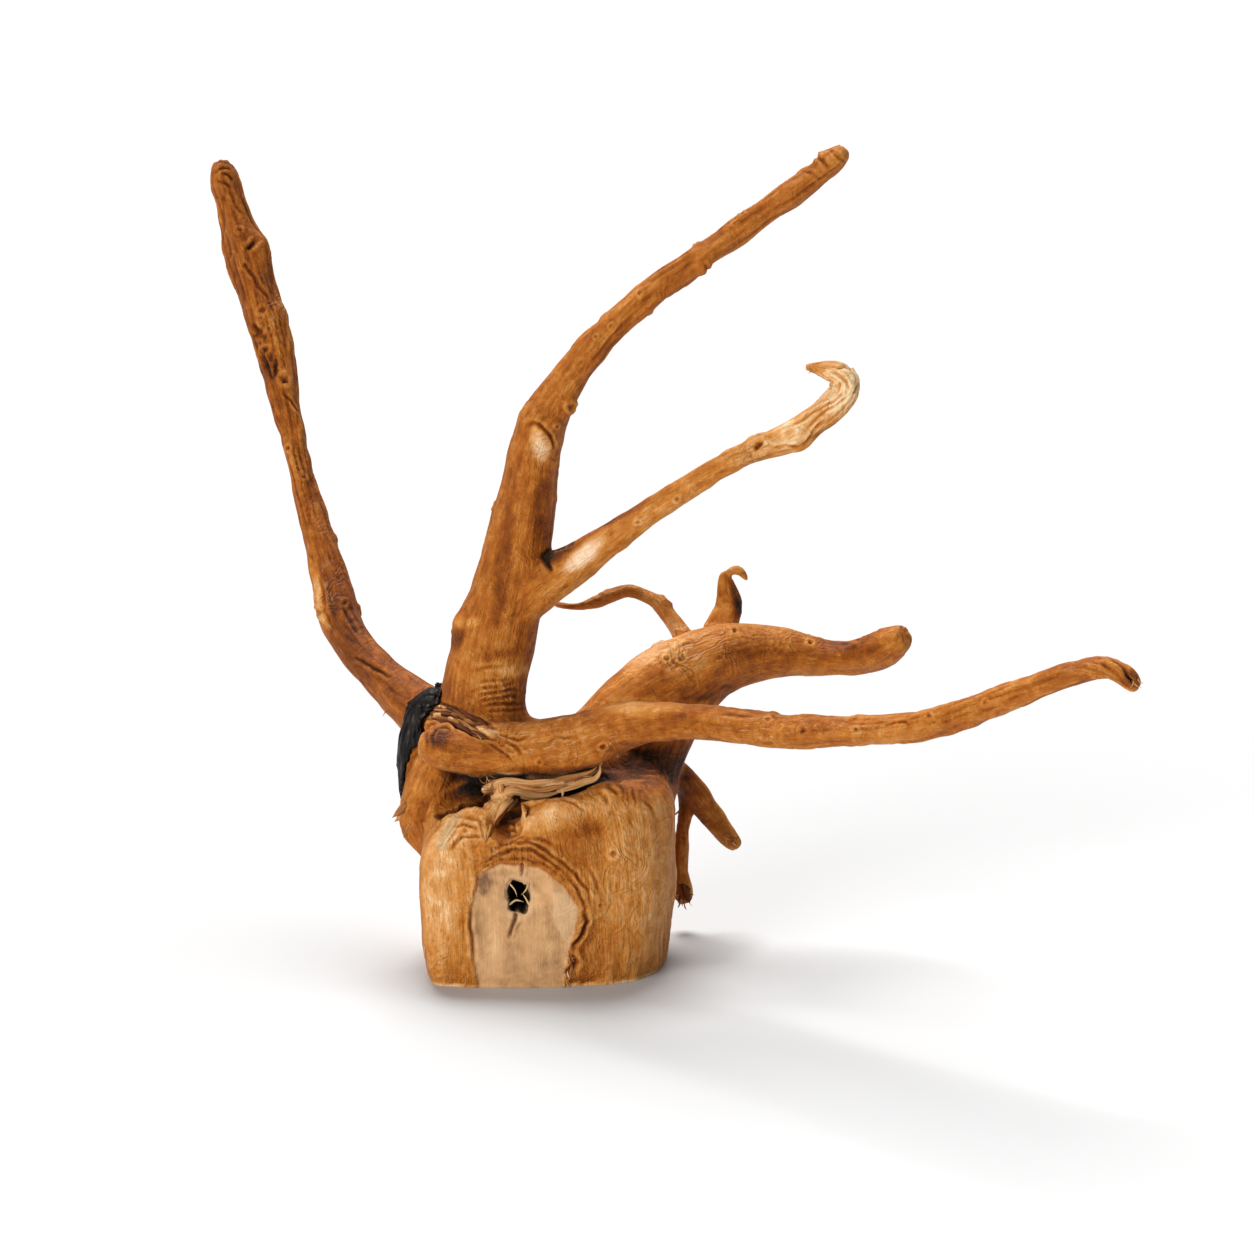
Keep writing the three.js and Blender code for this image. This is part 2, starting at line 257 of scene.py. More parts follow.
def follow(spots, line):
    """How far each spot is past the root's skin, and its place along and across the root."""
    gap = np.full(len(spots), 1e3)
    place = np.zeros((len(spots), 3))
    margin = 24 + line[:, 3].max()
    near = np.all((spots > line[:, :3].min(0) - margin) & (spots < line[:, :3].max(0) + margin), axis=1)
    part, best, found = spots[near], gap[near], place[near]
    reach = np.full(len(part), 1e3)
    side = np.cross(line[1, :3] - line[0, :3], (0.3, 0.8, 0.5))
    run = 0.0
    for start, end in zip(line, line[1:]):
        step = end[:3] - start[:3]
        length = np.linalg.norm(step)
        side = side - step * (side @ step) / length**2
        side = side / np.linalg.norm(side)
        other = np.cross(step / length, side)
        along = np.clip((part - start[:3]) @ step / length**2, 0, 1)
        off = part - start[:3] - along[:, None] * step
        away = np.linalg.norm(off, axis=1)
        closer = away < reach
        reach[closer] = away[closer]
        best[closer] = (away - start[3] - along * (end[3] - start[3]))[closer]
        found[closer] = np.stack([run + along * length, off @ side, off @ other], axis=1)[closer]
        run += length
    gap[near], place[near] = best, found
    return gap, place


LINES = {name: catmull_rom(stations, 6) for name, stations in COURSES.items()}
print("roots:", {name: len(line) for name, line in LINES.items()})

# %% [markdown]
# ## From facets to a living surface
# The solid's facets are about 5 mm wide. Subdividing rounds them off the way a rasp does, and a
# voxel remesh then lays an even net of small squares over everything, with no trace of where one
# root was joined to another. The sawn base is pulled down first and cut off again afterwards, so
# that the rounding leaves its edge as crisp as a saw does.

# %% Round the solid and lay an even net over it
NET = 0.52
BASE_DROP = 8.0
SAME_POINT_M = 1e-6
BASE_SKIN_M = 1e-5


def finished(mesh, name, modifiers):
    """The mesh after its modifiers, as a mesh of its own."""
    carrier = bpy.data.objects.new(name, mesh)
    scene.collection.objects.link(carrier)
    for kind, settings in modifiers:
        modifier = carrier.modifiers.new(kind, kind)
        for key, value in settings.items():
            setattr(modifier, key, value)
    graph = bpy.context.evaluated_depsgraph_get()
    result = bpy.data.meshes.new_from_object(carrier.evaluated_get(graph))
    bpy.data.objects.remove(carrier)
    return result


rough = bmesh.new()
rough.from_mesh(solid.data)
bmesh.ops.remove_doubles(rough, verts=rough.verts, dist=SAME_POINT_M)
sawn = [face for face in rough.faces if face.calc_center_median().z < BASE_SKIN_M]
pulled = bmesh.ops.extrude_face_region(rough, geom=sawn)["geom"]
foot = [part for part in pulled if isinstance(part, bmesh.types.BMVert)]
bmesh.ops.translate(rough, vec=(0, 0, -BASE_DROP * MM), verts=foot)
bmesh.ops.delete(rough, geom=sawn, context="FACES")
bmesh.ops.recalc_face_normals(rough, faces=rough.faces)
net = finished(mesh_of(rough, "net"), "rounding", [
    ("SUBSURF", {"levels": 2, "render_levels": 2}),
    ("REMESH", {"mode": "VOXEL", "voxel_size": NET * MM}),
])
print("net:", len(net.vertices), "points", NET, "mm apart")

# %% [markdown]
# ## Soften the net and fill its corners
# Where one root leaves another, wood lays itself into the corner year after year, so no corner is
# sharp. A plain smoothing would round the corners but also thin the roots. Here each point is pulled
# towards its neighbours and pushed back a little further, which takes out ripples and keeps girth.
# After that only the hollow corners are filled: a point moves outwards, never inwards.

# %% Smooth the net
RIPPLE_ROUNDS = 18
PULL = 0.6
PUSH = 0.62
FILL_ROUNDS = 95
FILL_STRENGTH = 0.9
NORMALS_EVERY = 10
GIRTH = 0.16
# The rotten hole in the stump: x and z of its middle and half its size, in mm.
HEART = (-8.5, 27.5)
HEART_HALF = (3.3, 5.25)
HOLE_REACH = 6
HOLE_END_Y = -6
# Where the corners start to be filled: from the cleft's wall outwards and from the base upwards.
CLEFT_WALL_MM = (0, 5)
OVER_BASE_MM = (4, 12)


def pairs_of(mesh):
    """The two points of every edge, as their numbers."""
    flat = np.empty(len(mesh.edges) * 2, np.int32)
    mesh.edges.foreach_get("vertices", flat)
    return flat.reshape(-1, 2)


def pull_of(spots, pairs):
    """For each spot, the way to the middle of its neighbours."""
    count = len(spots)
    one, other = pairs.T
    degree = np.bincount(pairs.ravel(), minlength=count)
    sums = [
        np.bincount(one, column[other], count) + np.bincount(other, column[one], count)
        for column in spots.T
    ]
    return np.stack(sums, axis=1) / degree[:, None] - spots


pairs = pairs_of(net)
spots = spots_of(net)
for _ in range(RIPPLE_ROUNDS):
    spots += PULL * pull_of(spots, pairs)
    spots -= PUSH * pull_of(spots, pairs)
put_spots(net, spots)
spots += GIRTH * normals_of(net) * smooth_step(spots[:, 2], 0, 3)[:, None]

CLEFT = catmull_rom(
    [(-35, -14, 50, 5), (-27, -16, 51, 9), (-10, -16, 52, 9), (6, -16, 55, 9), (20, -9, 62, 5)], 6
)
cleft_gap, _ = follow(spots, CLEFT)
from_heart = np.hypot(spots[:, 0] - HEART[0], (spots[:, 2] - HEART[1]) / 1.5)
in_hole = (from_heart < HOLE_REACH) & (spots[:, 1] < 0)
open_corner = smooth_step(cleft_gap, *CLEFT_WALL_MM) * smooth_step(spots[:, 2], *OVER_BASE_MM) * ~in_hole
for turn in range(FILL_ROUNDS):
    if turn % NORMALS_EVERY == 0:
        put_spots(net, spots)
        outward = normals_of(net)
    rise = np.sum(pull_of(spots, pairs) * outward, axis=1)
    spots += (FILL_STRENGTH * np.maximum(rise, 0) * open_corner)[:, None] * outward
put_spots(net, spots)
print("smoothed:", spots.min(0).round(1), spots.max(0).round(1))

# %% [markdown]
# ## Carve what can be seen
# Knots, folds, cracks and scars are marks with a place. They are listed where they lie in the
# picture, as column and row, with their real depth and width in millimetres. Only the points that
# the camera can see are carved by them: a coarse grid over the picture keeps the nearest depth, and
# a point is seen if it is no more than a few millimetres behind that.

# %% Find what the camera sees
CELL_PX = 5
CELL_ROWS = 1000
FACING = (0.02, 0.3)
BEHIND_MM = (4.5, 2.5)
# The marks are shifted a little by two noises, so that no line of theirs is quite smooth.
WANDER_PX = 1.5
WANDER_MM = (4, 11)


def seen_share(spots, outward):
    """Where each spot lies in the picture, a little uneven, and how well it is seen, from 0 to 1."""
    place, depth = in_picture(spots)
    cell = np.floor(place / CELL_PX).astype(int)
    key = cell[:, 0] * CELL_ROWS + cell[:, 1]
    nearest = np.full(key.max() + 1, 1e6)
    np.minimum.at(nearest, key, depth)
    share = smooth_step(outward @ EYE_BACK, *FACING) * smooth_step(depth - nearest[key], *BEHIND_MM)
    wander = drift(spots / WANDER_MM[0], (81, 82), 2)
    wander += 1.3 * drift(spots / WANDER_MM[1], (83, 84))
    return place + WANDER_PX * wander, share


def from_line(place, line):
    """Distance in mm from a line in the picture, and how far along it, from 0 to 1."""
    away = np.full(len(place), 1e3)
    along = np.zeros(len(place))
    points = np.array(line, float)
    margin = 40
    near = np.all((place > points.min(0) - margin) & (place < points.max(0) + margin), axis=1)
    part, best, found = place[near], away[near], along[near]
    lengths = np.linalg.norm(np.diff(points, axis=0), axis=1)
    run = 0.0
    for start, end, length in zip(points, points[1:], lengths):
        step = end - start
        t = np.clip((part - start) @ step / length**2, 0, 1)
        gap = np.linalg.norm(part - start - t[:, None] * step, axis=1) * MM_PER_PX
        closer = gap < best
        best[closer] = gap[closer]
        found[closer] = ((run + t * length) / lengths.sum())[closer]
        run += length
    away[near], along[near] = best, found
    return away, along


def from_outline(place, outline):
    """Distance in mm from a closed outline in the picture, less than 0 inside it."""
    points = np.array(outline, float)
    away, _ = from_line(place, np.vstack([points, points[:1]]))
    inside = np.zeros(len(place), bool)
    for start, end in zip(points, np.roll(points, -1, axis=0)):
        spans = (start[1] > place[:, 1]) != (end[1] > place[:, 1])
        slope = (end[0] - start[0]) / (end[1] - start[1] or 1e-9)
        inside ^= spans & (place[:, 0] < start[0] + (place[:, 1] - start[1]) * slope)
    return np.where(inside, -away, away)


# %% [markdown]
# The front of the stump shows the scar of a branch that was cut long ago: a pale flat face with a
# rotten hole in its heart, painted black as its shade, two cracks through it, and the wood that grew
# over its edge in ripples.

# %% The marks
SCAR = [
    (472, 904), (480, 873), (500, 866), (521, 866), (539, 869), (556, 880), (568, 894), (578, 906),
    (577, 916), (573, 929), (570, 945), (566, 963), (564, 995), (478, 995), (475, 965), (471, 925),
]
PALE_LAYER = [(553, 894), (566, 894), (577, 906), (576, 917), (570, 932), (569, 943), (561, 938), (552, 915)]
TORN = [
    (422, 708), (433, 703), (447, 704), (462, 712), (472, 713), (494, 727), (502, 738), (486, 739),
    (478, 736), (462, 731), (447, 720), (433, 720), (423, 718),
]
DRY_PATCH = [(441, 850), (439, 838), (446, 826), (455, 815), (462, 812), (458, 824), (452, 836), (447, 851)]
# Grooves: depth and half width in mm, then the line.
GROOVES = [
    (1.9, 0.45, [(521, 864), (522, 871), (521, 880)]),
    (1.9, 0.45, [(517, 910), (514, 922), (512, 930), (510, 940)]),
    (0.8, 0.55, [(472, 902), (471, 924), (473, 947), (475, 962)]),
    (0.5, 0.45, [(473, 900), (479, 879), (492, 869), (508, 865), (525, 865)]),
    (0.5, 0.40, [(474, 880), (486, 867), (502, 861), (523, 861), (543, 865), (554, 873)]),
    (0.6, 0.40, [(478, 869), (494, 857), (513, 851), (535, 852), (553, 863), (564, 874)]),
    (0.6, 0.40, [(488, 853), (506, 844), (527, 843), (547, 851), (564, 863), (574, 874)]),
    (0.5, 0.40, [(494, 845), (519, 839), (543, 841), (560, 850)]),
    (0.5, 0.45, [(567, 877), (577, 888), (583, 902), (586, 916)]),
    (0.5, 0.45, [(560, 862), (575, 873), (588, 889), (593, 905)]),
    (0.4, 0.40, [(588, 865), (596, 880), (600, 896)]),
    (1.3, 0.60, [(582, 908), (586, 922), (581, 934), (574, 945), (569, 957)]),
    (1.5, 0.80, [(568, 955), (574, 962), (572, 970), (566, 976)]),
    (0.5, 0.45, [(449, 851), (462, 838), (482, 836), (494, 834)]),
    (0.7, 0.50, [(449, 821), (462, 814), (472, 810), (490, 808)]),
    (0.7, 0.45, [(478, 816), (484, 829), (487, 840), (493, 833)]),
    (0.6, 0.45, [(463, 822), (473, 819), (484, 822)]),
    (0.6, 0.45, [(455, 829), (466, 825), (478, 828)]),
    (0.5, 0.60, [(607, 784), (615, 790), (622, 797)]),
    (0.5, 0.60, [(616, 781), (624, 789), (630, 798)]),
    (0.4, 0.60, [(598, 790), (606, 797), (610, 806)]),
    (0.4, 0.50, [(632, 790), (637, 797), (640, 806)]),
    (0.4, 0.50, [(645, 800), (652, 808), (655, 820)]),
    (0.5, 0.50, [(560, 800), (572, 803), (588, 812)]),
    (0.5, 0.35, [(476, 690), (494, 688), (506, 685), (514, 684)]),
    (0.6, 0.35, [(478, 696), (500, 691), (512, 690), (518, 692)]),
    (0.6, 0.35, [(480, 701), (496, 698), (510, 696), (521, 697)]),
    (0.5, 0.35, [(482, 706), (498, 703), (512, 702), (525, 703)]),
    (0.4, 0.35, [(486, 711), (500, 709), (514, 708), (528, 709)]),
    (0.3, 0.40, [(480, 684), (496, 681), (510, 680)]),
    (0.3, 0.50, [(472, 672), (488, 668), (500, 669), (512, 667)]),
    (0.9, 0.45, [(529, 427), (535, 422), (541, 423), (546, 429), (550, 437), (552, 448)]),
    (1.0, 0.70, [(547, 556), (548, 566), (552, 574)]),
    (0.7, 0.60, [(549, 556), (570, 545), (590, 533), (612, 521)]),
    (0.9, 0.50, [(224, 172), (229, 174), (234, 178)]),
    (0.6, 0.40, [(214, 172), (222, 167), (233, 168)]),
    (0.6, 0.40, [(217, 180), (226, 183), (234, 186)]),
    (0.6, 0.50, [(231, 190), (236, 201), (243, 214)]),
    (1.5, 0.60, [(248, 250), (253, 246), (257, 240)]),
    (0.8, 0.45, [(247, 263), (253, 275), (264, 294), (269, 298)]),
    (1.3, 0.60, [(252, 321), (257, 330), (256, 337)]),
    (1.0, 0.60, [(259, 325), (261, 334), (266, 336)]),
    (1.0, 0.50, [(263, 345), (262, 356), (268, 369), (272, 380)]),
    (1.0, 0.50, [(275, 355), (274, 366), (275, 378)]),
    (1.3, 0.70, [(280, 382), (284, 383), (289, 382)]),
    (0.6, 0.40, [(280, 394), (292, 401), (301, 416)]),
    (0.5, 0.40, [(291, 440), (297, 462), (301, 485)]),
    (0.7, 0.50, [(317, 572), (322, 590), (326, 612), (333, 630)]),
    (0.5, 0.50, [(340, 600), (349, 618), (360, 636)]),
    (0.6, 0.50, [(352, 655), (372, 668), (398, 682)]),
    (1.3, 0.55, [(755, 449), (759, 445), (763, 441)]),
    (0.7, 0.40, [(789, 430), (815, 411), (834, 400), (847, 389)]),
    (0.7, 0.40, [(806, 431), (825, 412), (849, 396)]),
    (0.8, 0.40, [(853, 394), (864, 382), (864, 374)]),
    (0.6, 0.40, [(835, 368), (843, 365), (852, 369)]),
    (0.6, 0.40, [(830, 370), (840, 376), (851, 390)]),
    (0.6, 0.40, [(770, 449), (786, 445), (800, 447)]),
    (0.5, 0.40, [(803, 446), (815, 432), (828, 420)]),
    (0.7, 0.50, [(848, 642), (854, 641), (862, 640)]),
    (0.5, 0.40, [(756, 741), (766, 743), (775, 742)]),
    (0.4, 0.40, [(896, 722), (903, 721), (911, 723)]),
    (0.5, 0.40, [(722, 714), (738, 716), (752, 715)]),
    (0.5, 0.40, [(532, 736), (520, 741), (508, 737), (494, 738)]),
    (0.5, 0.45, [(505, 742), (517, 748), (524, 757)]),
    (0.4, 0.40, [(545, 744), (560, 738), (578, 739)]),
    (0.5, 0.40, [(1108, 657), (1118, 664), (1128, 672)]),
    (1.3, 0.50, [(1122, 668), (1130, 677), (1136, 686)]),
    (0.5, 0.40, [(1100, 664), (1112, 670), (1124, 682)]),
    (0.6, 0.45, [(812, 155), (822, 161), (830, 167)]),
    (0.5, 0.40, [(828, 150), (838, 156), (846, 161)]),
    (0.4, 0.40, [(800, 170), (812, 172), (822, 178)]),
    (0.5, 0.50, [(702, 262), (707, 270), (704, 278)]),
    (0.6, 0.40, [(427, 752), (424, 738), (430, 727), (440, 722), (452, 724), (457, 733)]),
    (0.5, 0.35, [(434, 748), (432, 736), (438, 729), (447, 729), (452, 737)]),
    (1.0, 0.45, [(422, 722), (430, 719), (444, 721), (458, 727), (472, 735), (488, 740), (500, 741)]),
    (0.5, 0.35, [(475, 738), (492, 746), (507, 756), (516, 765)]),
]
# Knots: column, row, radius, rise of the collar and depth of the pit, all three in mm.
KNOTS = [
    (612.7, 854, 1.5, 0.5, 0.7), (605, 748, 1.5, 0.6, 0.8), (240.5, 230, 1.3, 0.6, 0.3),
    (247, 265, 1.5, 0.4, 0.4), (261, 309, 1.7, 0.6, 0.5), (265, 348, 1.7, 0.7, 0.6),
    (284, 379, 2.2, 1.0, 0.6), (287, 447, 1.4, 0.6, 0.3), (303, 477, 1.4, 0.5, 0.3),
    (347, 605, 1.5, 0.5, 0.3), (321, 612, 2.0, 0.7, 0.4), (570, 406, 1.8, 1.0, 0.3),
    (556, 424, 1.0, 0.5, 0.2), (759, 445, 2.9, 0.7, 0.2), (789, 434, 2.4, 0.5, -0.3),
    (811, 643, 1.3, 0.3, 0.9), (735, 632, 1.0, 0.2, 0.7), (767, 719, 1.2, 0.5, 0.2),
    (805, 730, 1.6, 0.5, 0.3), (856, 729, 1.2, 0.4, 0.3), (930, 716, 1.2, 0.4, 0.3),
    (986, 703, 1.1, 0.5, 0.3), (667, 660, 1.4, 0.5, 0.5), (682, 658, 1.5, 0.5, 0.5),
    (625, 655, 1.2, 0.4, 0.4), (540, 760, 1.1, 0.3, 0.4), (640, 292, 1.2, 0.5, 0.2),
    (612, 326, 1.2, 0.5, 0.3), (676, 496, 1.2, 0.4, 0.3), (640, 520, 1.1, 0.4, 0.3),
    (596, 338, 1.0, 0.4, 0.2), (742, 214, 1.3, 0.6, 0.2), (600, 905, 1.0, 0.2, 0.4),
]
# Swellings and hollows: column, row, reach and rise in mm.
SWELLINGS = [
    (262, 252, 4.0, 1.0), (284, 312, 4.5, 0.9), (268, 365, 5.0, -0.8), (452, 618, 4.0, 1.2),
    (455, 640, 3.2, -0.9), (533, 417, 4.0, 1.2), (540, 447, 5.0, 0.5), (705, 270, 2.6, 1.3),
    (570, 407, 2.6, 0.8), (519, 671, 6.0, 0.5), (488, 655, 6.0, -0.5), (505, 680, 5.0, 0.5),
    (555, 820, 9.0, 0.8), (600, 823, 7.0, -0.7), (640, 850, 8.0, 0.6), (510, 830, 3.4, -1.2),
    (620, 900, 9.0, -0.6), (640, 930, 9.0, 0.6), (440, 900, 8.0, 0.5), (803, 449, 3.5, 0.8),
    (836, 156, 3.0, 0.6), (818, 152, 2.0, 1.2), (525, 807, 3.6, -2.4), (540, 806, 3.4, -1.0),
    (462, 806, 4.2, 2.2), (476, 803, 3.6, 1.6), (450, 816, 3.4, 1.0), (264, 240, 2.6, 1.2),
    (253, 247, 2.0, -0.9), (440, 742, 5.0, 0.6), (410, 812, 3.0, 0.8),
]
print("marks:", len(GROOVES), "grooves,", len(KNOTS), "knots,", len(SWELLINGS), "swellings")

# %% [markdown]
# Every mark adds a little to a relief, in millimetres outwards. The same pass notes down how dark
# its grooves and pits are painted: painted shade, for the shadow that falls in them.

# %% Carve the marks into a relief


def with_knot(relief, dark, away, radius, rise, pit):
    """The relief and its darkness with a knot more, which is a collar round a pit."""
    relief = relief + rise * bell(away - 0.8 * radius, 0.45 * radius) - pit * bell(away, 0.45 * radius)
    return relief, np.maximum(dark, 0.7 * max(0, pit) * bell(away, 0.4 * radius))


def from_spot(place, column, row):
    """Distance in mm from a spot in the picture."""
    return np.hypot(place[:, 0] - column, place[:, 1] - row) * MM_PER_PX


def carve_marks(place, share):
    """The relief of all marks in mm, and how dark their grooves are."""
    relief = np.zeros(len(place))
    dark = np.zeros(len(place))
    for depth, width, line in GROOVES:
        away, along = from_line(place, line)
        taper = 1 - np.abs(2 * along - 1) ** 3
        relief += taper * (0.4 * depth * bell(away - 2.1 * width, width) - depth * bell(away, width))
        # The groove is painted darker as its shade.
        dark = np.maximum(dark, taper * min(0.95, 0.4 * depth**2) * bell(away, 0.7 * width))
    for column, row, radius, rise, pit in KNOTS:
        relief, dark = with_knot(relief, dark, from_spot(place, column, row), radius, rise, pit)
    for column, row, reach, rise in SWELLINGS:
        relief += rise * bell(from_spot(place, column, row), reach)
    return relief * share, dark * share


# %% [markdown]
# The wood that grew over the scar lies round it like folded skin: rounded ridges with sharp creases
# between them, hardly 2 mm apart. Their distance from the scar gives them their course, and noise
# bends and breaks them.

# %% Carve the scar and the folds round it
FOLD_MM = 1.45
# The folds fade out below the scar's shoulders and at its left: rows and columns in the picture.
FOLD_ROWS = (912, 880)
FOLD_COLUMNS = (462, 480)
FOLDS_END_MM = (10.5, 4)
FOLD_BEND_PX = 26
FOLD_BREAK_PX = 17


def carve_scar(place, share):
    """The relief of the scar, how dark its folds are and the distance from its edge in mm."""
    column, row = place.T
    scar_gap = from_outline(place, SCAR)
    flat = np.stack([column, row, column * 0], axis=1)
    bend = noise(flat / FOLD_BEND_PX, 5, 2)
    strength = smooth_step(noise(flat / FOLD_BREAK_PX, 8), -0.7, 0.3)
    crease = 1 - np.abs(np.sin(math.pi * (scar_gap + 1.5 * bend) / FOLD_MM))
    over = smooth_step(row, *FOLD_ROWS) * smooth_step(column, *FOLD_COLUMNS)
    ring = smooth_step(scar_gap, 0, 0.8) * smooth_step(scar_gap, *FOLDS_END_MM) * over * strength
    relief = ring * (0.14 - 0.4 * crease**3)
    relief -= 0.6 * smooth_step(scar_gap, 0.5, -0.4)
    relief += 0.24 * smooth_step(from_outline(place, PALE_LAYER), 0.3, -0.3)
    # The creases of the folds are painted darker as their shade.
    return relief * share, 0.2 * ring * crease**5 * share, scar_gap


# %% [markdown]
# ## Carve the grain
# Bare root wood has long soft ridges that run with the grain, a slow unevenness of several
# millimetres, and fine fibres that only the light finds. The ridges are noise in the root's own
# directions: long along it, short across. Where two roots meet, their two noises fade into each
# other, so the grain of one flows into the other without a seam.

# %% Grain along the roots
# Noises along the grain: length and width in mm, seed and number of layers.
RIDGE = (26, 3.4, 21, 2)
CREASE = (15, 1.7, 31, 1)
FIBRE = (7, 1.1, 41, 1)
LUMP = (9, 5, 43, 2)
DIMPLE = (3.6, 2.0, 45, 1)
STREAK = (34, 3.0, 73, 2)
FINE_STREAK = (16, 1.2, 74, 1)
# Each root reads another part of the noise.
ROOT_SHIFT = 17.3
# Two roots fade into each other where the one is hardly nearer than the other, in mm.
MEETING_MM = 5


def grain_of(spots):
    """The two nearest roots of each spot, how much the first one counts, and all places."""
    gaps, places = zip(*(follow(spots, line) for line in LINES.values()))
    gaps, places = np.stack(gaps, axis=1), np.stack(places, axis=1)
    order = np.argsort(gaps, axis=1)[:, :2]
    both = np.take_along_axis(gaps, order, axis=1)
    weight = 0.5 + 0.5 * smooth_step(both[:, 1] - both[:, 0], 0, MEETING_MM)
    return gaps, places, order, weight


def with_grain(places, order, weight, length, width, seed, octaves):
    """Noise that is drawn out along the roots: its length and width are in mm."""
    rows = np.arange(len(order))
    sizes = np.array((length, width, width))
    layers = [
        noise(places[rows, order[:, k]] / sizes + order[:, k][:, None] * ROOT_SHIFT, seed, octaves)
        for k in (0, 1)
    ]
    return weight * layers[0] + (1 - weight) * layers[1]


def by_root(values, usual, order):
    """A number for each spot, by the root that it belongs to."""
    return np.array([values.get(name, usual) for name in NAMES])[order[:, 0]]


def furrow(value, width, depth):
    """A furrow where a noise passes through 0: half its width in that noise, and its depth in mm."""
    return depth * np.maximum(0, width - np.abs(value)) / width


# %% Read the front and draw the back's knots
# How lumpy and how streaky each root is, in mm and as a share. The others get the usual value.
KNOTTY = {"curl": 0.75, "stub": 0.9, "slab": 0.6, "hanging": 0.6, "left": 0.42, "branch": 0.36, "column": 0.2}
KNOTTY_USUAL = 0.3
STREAKY = {"stump": 0.3, "crown": 0.5, "upright": 0.55, "front": 0.6, "thick": 0.45}
STREAKY_USUAL = 1.0
BACK_KNOT_COUNT = 60
BACK_SEED = 12
outward = normals_of(net)
place, share = seen_share(spots, outward)
gaps, places, order, weight = grain_of(spots)
radius = np.array([np.median(line[:, 3]) for line in LINES.values()])[order[:, 0]]
slim = np.clip(radius / 9, 0.35, 1)
mark_relief, _ = carve_marks(place, share)
scar_relief, _, scar_gap = carve_scar(place, share)
calm = 1 - 0.8 * (smooth_step(scar_gap, 0.6, -0.6) * share)
chance = np.random.default_rng(BACK_SEED)
plain_spots = np.flatnonzero((share < 0.02) & (spots[:, 2] > 8))
knot_spots = spots[chance.choice(plain_spots, BACK_KNOT_COUNT)]
knot_sizes = [chance.uniform(*ends, BACK_KNOT_COUNT) for ends in ((0.9, 2.2), (0.3, 0.8), (0.1, 0.7))]
BACK_KNOTS = list(zip(knot_spots, *knot_sizes))


def carve_back_knots(spots):
    """The relief of the knots that the camera can't see, and how dark their pits are."""
    relief = np.zeros(len(spots))
    dark = np.zeros(len(spots))
    for middle, size, rise, pit in BACK_KNOTS:
        away = np.linalg.norm(spots - middle, axis=1)
        relief, dark = with_knot(relief, dark, away, size, rise, pit)
    return relief, dark


# %% Carve the grain into the skin
# Towards their ends the roots are more knotted and grooved: from how far out, in mm.
MIDDLE = (0, 0, 60)
OUTER_MM = (85, 130)
# Thick wood has creases that wind like water round stones: their number and size, and where.
SWIRLS = 6.0
SWIRL_MM = 15.0
SWIRLED = ("stump", "crown", "thick", "front", "upright", "flange")
SWIRLED_MM = 17
WINDING_MM = 14
LOW_MM = 13
low = noise(spots / LOW_MM, 11, 2)
ridge, crease, fibre, lump, dimple = (
    with_grain(places, order, weight, *layer) for layer in (RIDGE, CREASE, FIBRE, LUMP, DIMPLE)
)
# Each amount is a height or a depth in mm.
relief = calm * (
    0.45 * slim * low + by_root(KNOTTY, KNOTTY_USUAL, order) * lump + 0.14 * dimple
    + by_root(STREAKY, STREAKY_USUAL, order) * slim * (0.24 * ridge - furrow(crease, 0.24, 0.26))
    + 0.07 * fibre
)
swirl = SWIRLS * noise(spots / SWIRL_MM + 0.5 * drift(spots / WINDING_MM, (64, 65, 66), 2), 67)
swirl = np.abs(swirl - np.round(swirl))
swirled = smooth_step(noise(spots / SWIRLED_MM, 68), -0.3, 0.4)
swirled *= np.isin(order[:, 0], [NAMES.index(name) for name in SWIRLED])
relief += calm * swirled * (0.04 - 0.15 * np.maximum(0, 1 - swirl / 0.17))
outer = smooth_step(np.linalg.norm(spots - MIDDLE, axis=1), *OUTER_MM)
relief += outer * (0.13 * ridge + 0.25 * lump - furrow(crease, 0.3, 0.26))
print("grain: ridges from", ridge.min().round(2), "to", ridge.max().round(2))

# %% [markdown]
# Two places are torn rather than grown: the broken end over the front root, and the tongue and the
# flake that hang in the cleft. Their wood has come apart into coarse fibres, so they get far
# deeper noise, drawn out along the way that the wood tore.

# %% Torn wood and the rotten heart
TEAR_MM = (12.0, 1.7, 2.5)
SHRED_MM = (12, 1.3, 1.3)
TEAR_TURN = math.radians(30)


def tear(place, spots):
    """Noise drawn out along the tear in the broken end, from about -1.5 to 1.5."""
    across, down = place[:, 0] * MM_PER_PX, place[:, 1] * MM_PER_PX
    run = across * math.cos(TEAR_TURN) + down * math.sin(TEAR_TURN)
    side = down * math.cos(TEAR_TURN) - across * math.sin(TEAR_TURN)
    return noise(np.stack([run / TEAR_MM[0], side / TEAR_MM[1], spots[:, 1] / TEAR_MM[2]], axis=1), 51, 2)


def shredded(gaps, places):
    """How much each spot belongs to the tongue or the flake, and the noise of their fibres."""
    which = [NAMES.index("tongue"), NAMES.index("flake")]
    near = np.stack([smooth_step(gaps[:, k], 1.6, 0.4) for k in which], axis=1)
    k = np.array(which)[np.argmax(near, axis=1)]
    fibres = noise(places[np.arange(len(k)), k] / np.array(SHRED_MM), 57, 2)
    return near.max(axis=1), fibres


torn = smooth_step(from_outline(place, TORN), 0.6, -0.4) * share
relief += torn * (1.15 * tear(place, spots) - 0.5)
shred, shred_fibre = shredded(gaps, places)
relief += shred * 0.42 * shred_fibre

total = relief + mark_relief + scar_relief + carve_back_knots(spots)[0]
total *= smooth_step(spots[:, 2], -1.0, 0.6) * 0.6 + 0.4
spots = spots + outward * total[:, None]

